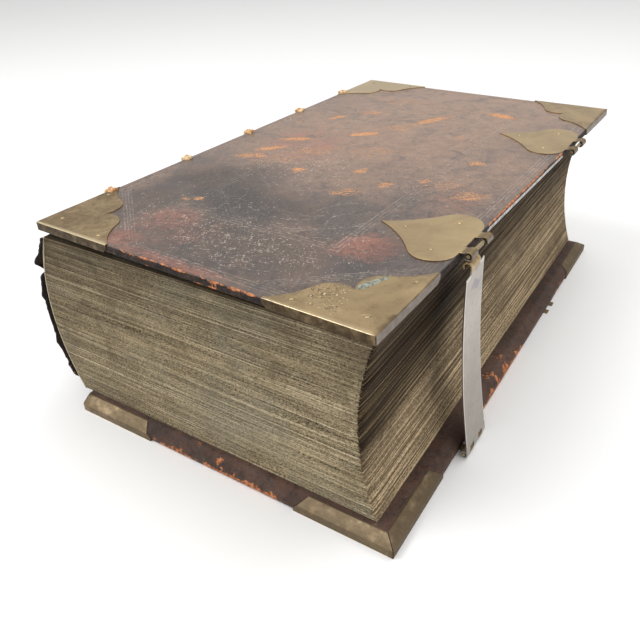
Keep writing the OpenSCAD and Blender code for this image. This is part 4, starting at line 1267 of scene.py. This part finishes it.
def spine_sheet():
    """The spine's leather: a sheet over the raised bands, torn at the tail and ragged along the joint."""
    hinge = np.array([[-134.8, 0.9], [-137.0, 1.3], [-140.2, 3.0], [-142.6, 6.0]])
    z = np.linspace(9.4, BLOCK_Z1 - 0.4, 62)
    inner_r = SPINE_R + LINING_T
    arc = np.stack([SPINE_CX - np.sqrt(inner_r ** 2 - (z - BLOCK_MID_Z) ** 2), z], 1)
    path = np.concatenate([hinge, arc])
    way = unit(np.gradient(path, axis=0))
    out = np.stack([-way[:, 1], way[:, 0]], 1)
    ys = spine_lines()
    from_tail = ys - SPINE_TAIL
    shape = len(path), len(ys)
    height = np.zeros(len(ys))
    for c in CORD_Y:
        d = np.abs(ys - c)
        height = np.maximum(height, BAND_H * np.sqrt(np.clip(1 - (d / BAND_HALF) ** 2, 0, 1)))
        height = np.maximum(height, BAND_FOOT_H * np.exp(-(d / 3.9) ** 2))
    on_arc = ramp01(path[:, 1], 14, 22) * (1 - 0.35 * ramp01(path[:, 1], BLOCK_Z1 - 8, BLOCK_Z1))
    base = xyz(path[:, :1], ys, path[:, 1:])

    def rough(cell, seed, axes=1):
        return lattice(base * axes, cell, seed).reshape(shape)

    # The tail edge is torn: a loose flap under the front joint, a bite below it, then a frayed edge
    zz = base[:, 2].reshape(shape)
    torn = 1.6 * rough(7, 61) + 0.8 * rough(2.4, 62)
    bite = 5 * np.exp(-((zz - 112) / 2.2) ** 2) + 9 * ramp01(-zz, -24, -12)
    hem = 1 - ramp01(from_tail, 0, 24)
    y = base[:, 1].reshape(shape) + (bite + 1.0 + torn) * hem
    top_edge = ramp01(zz, BLOCK_Z1 - 7, BLOCK_Z1)
    drop = top_edge * (1.1 * rough(9, 71, [0, 1, 0]) - 0.6)
    # The flap hangs loose from the joint and flares outwards at its torn tip
    flare = 6.4 * (zz > 113) * np.clip((138 - zz) / 24, 0, 1) * (1 - ramp01(from_tail, 0, 20))
    loose = (2.6 + 1.1 * rough(13, 95, [0, 0, 1])) * hem ** 2
    flare = flare + loose * ramp01(zz, 20, 34) * (1 - ramp01(zz, 108, 112))
    lift = height * on_arc[:, None] + flare + 0.15 * np.minimum(rough(12, 81), 0)
    sides = []
    for offset in (lift, lift + SPINE_LEATHER_T):
        x = path[:, :1] + out[:, :1] * offset
        z3 = np.maximum(path[:, 1:] + out[:, 1:] * offset + drop, LOWEST_Z)
        sides.append(xyz(x, y, z3))
    p = np.concatenate(sides)
    obj = add_object("spine_covering", book(p), sheet_faces(*shape), 60)
    band = np.tile(height, 2 * shape[0]) / (2 * CORD_R)
    edge_y = np.tile(1 - ramp01(from_tail, 0, 9), 2 * shape[0])
    rub = 0.40 * ramp01(band, 0.75, 1) + 0.5 * np.tile(top_edge.ravel(), 2) * (1 - edge_y)
    paint(obj, edge=rub + 0.1 * lattice(p, 25, 91), scuff=0.35 * ramp01(lattice(p, 30, 92), 0.2, 0.8),
          ruddy=0.5 * ramp01(lattice(p, 60, 93), -0.2, 0.7),
          black=np.maximum(0.5 * ramp01(lattice(p, 50, 94), 0.0, 0.8), edge_y))
    finish_piece(obj, "text_block", "spine_leather", replaces=["spine_leather"])


spine_sheet()

LACING_POINTS, STRANDS, STRAND_SIDES, STRAND_TWIST, STRAND_APART = 40, 3, 9, 5.5, 2.094
HAIRS, HAIR_POINTS, HAIR_SIDES = 9, 7, 5
HAIR_TOP, LACING_TOP = 155.8, 156.1


def cord_lacing():
    """The cords' laced ends: they leave the spine, bend at the joint and lie frayed over the board's edge."""
    rng = np.random.default_rng(77)
    shapes = []
    for cy in CORD_Y:
        turned_y = turned(-HALF_W, cy, TWIST)[1]
        top_y = turned_y + SLIP_Y
        ex = -HALF_W - SLIP_X - turned_y * math.sin(TWIST)
        path = [
            (-143.6, cy, BLOCK_Z1 - 2.5), (ex - 2.9, (cy + top_y) / 2, BLOCK_Z1 + 1.5),
            (ex - 2.5, top_y, 147.5), (ex - 2.3, top_y, 151.0), (ex - 1.2, top_y, 153.1),
            (ex + 1.5, top_y + 0.4, 153.3), (ex + 4.6, top_y + 0.8, 152.9),
        ]
        cord = relaxed(resampled(path, LACING_POINTS), 4)
        for strand in range(STRANDS):
            turn = np.linspace(0, STRAND_TWIST, LACING_POINTS) + strand * STRAND_APART
            wobble = np.stack([np.cos(turn) * 0.9, np.sin(turn) * 1.9, np.sin(turn) * 0.6], 1)
            swell = 1.1 + 0.75 * ramp01(np.arange(LACING_POINTS), 20, 28)
            swell = swell + 0.22 * rng.normal(size=LACING_POINTS).clip(-1, 1)
            shapes.append(tube(cord + wobble, swell, STRAND_SIDES))
        for _ in range(HAIRS):
            root = cord[rng.integers(24, 38)]
            tip = root + rng.normal(0, 1, 3) * [2.2, 3.2, 0.4] + [0.8, 0, 0.5]
            bend = (root + tip) / 2 + [0, 0, 0.5]
            hair = resampled([root, bend, tip], HAIR_POINTS)
            hair[:, 2] = np.minimum(hair[:, 2], HAIR_TOP)
            shapes.append(tube(hair, np.linspace(0.28, 0.10, HAIR_POINTS), HAIR_SIDES))
    points, faces = merged(shapes)
    points[:, 2] = np.minimum(points[:, 2], LACING_TOP)
    obj = add_object("cord_lacings", book(points), faces, 60)
    finish_piece(obj, None, "cord", replaces=["cord_ends"])
    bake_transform(obj)


cord_lacing()
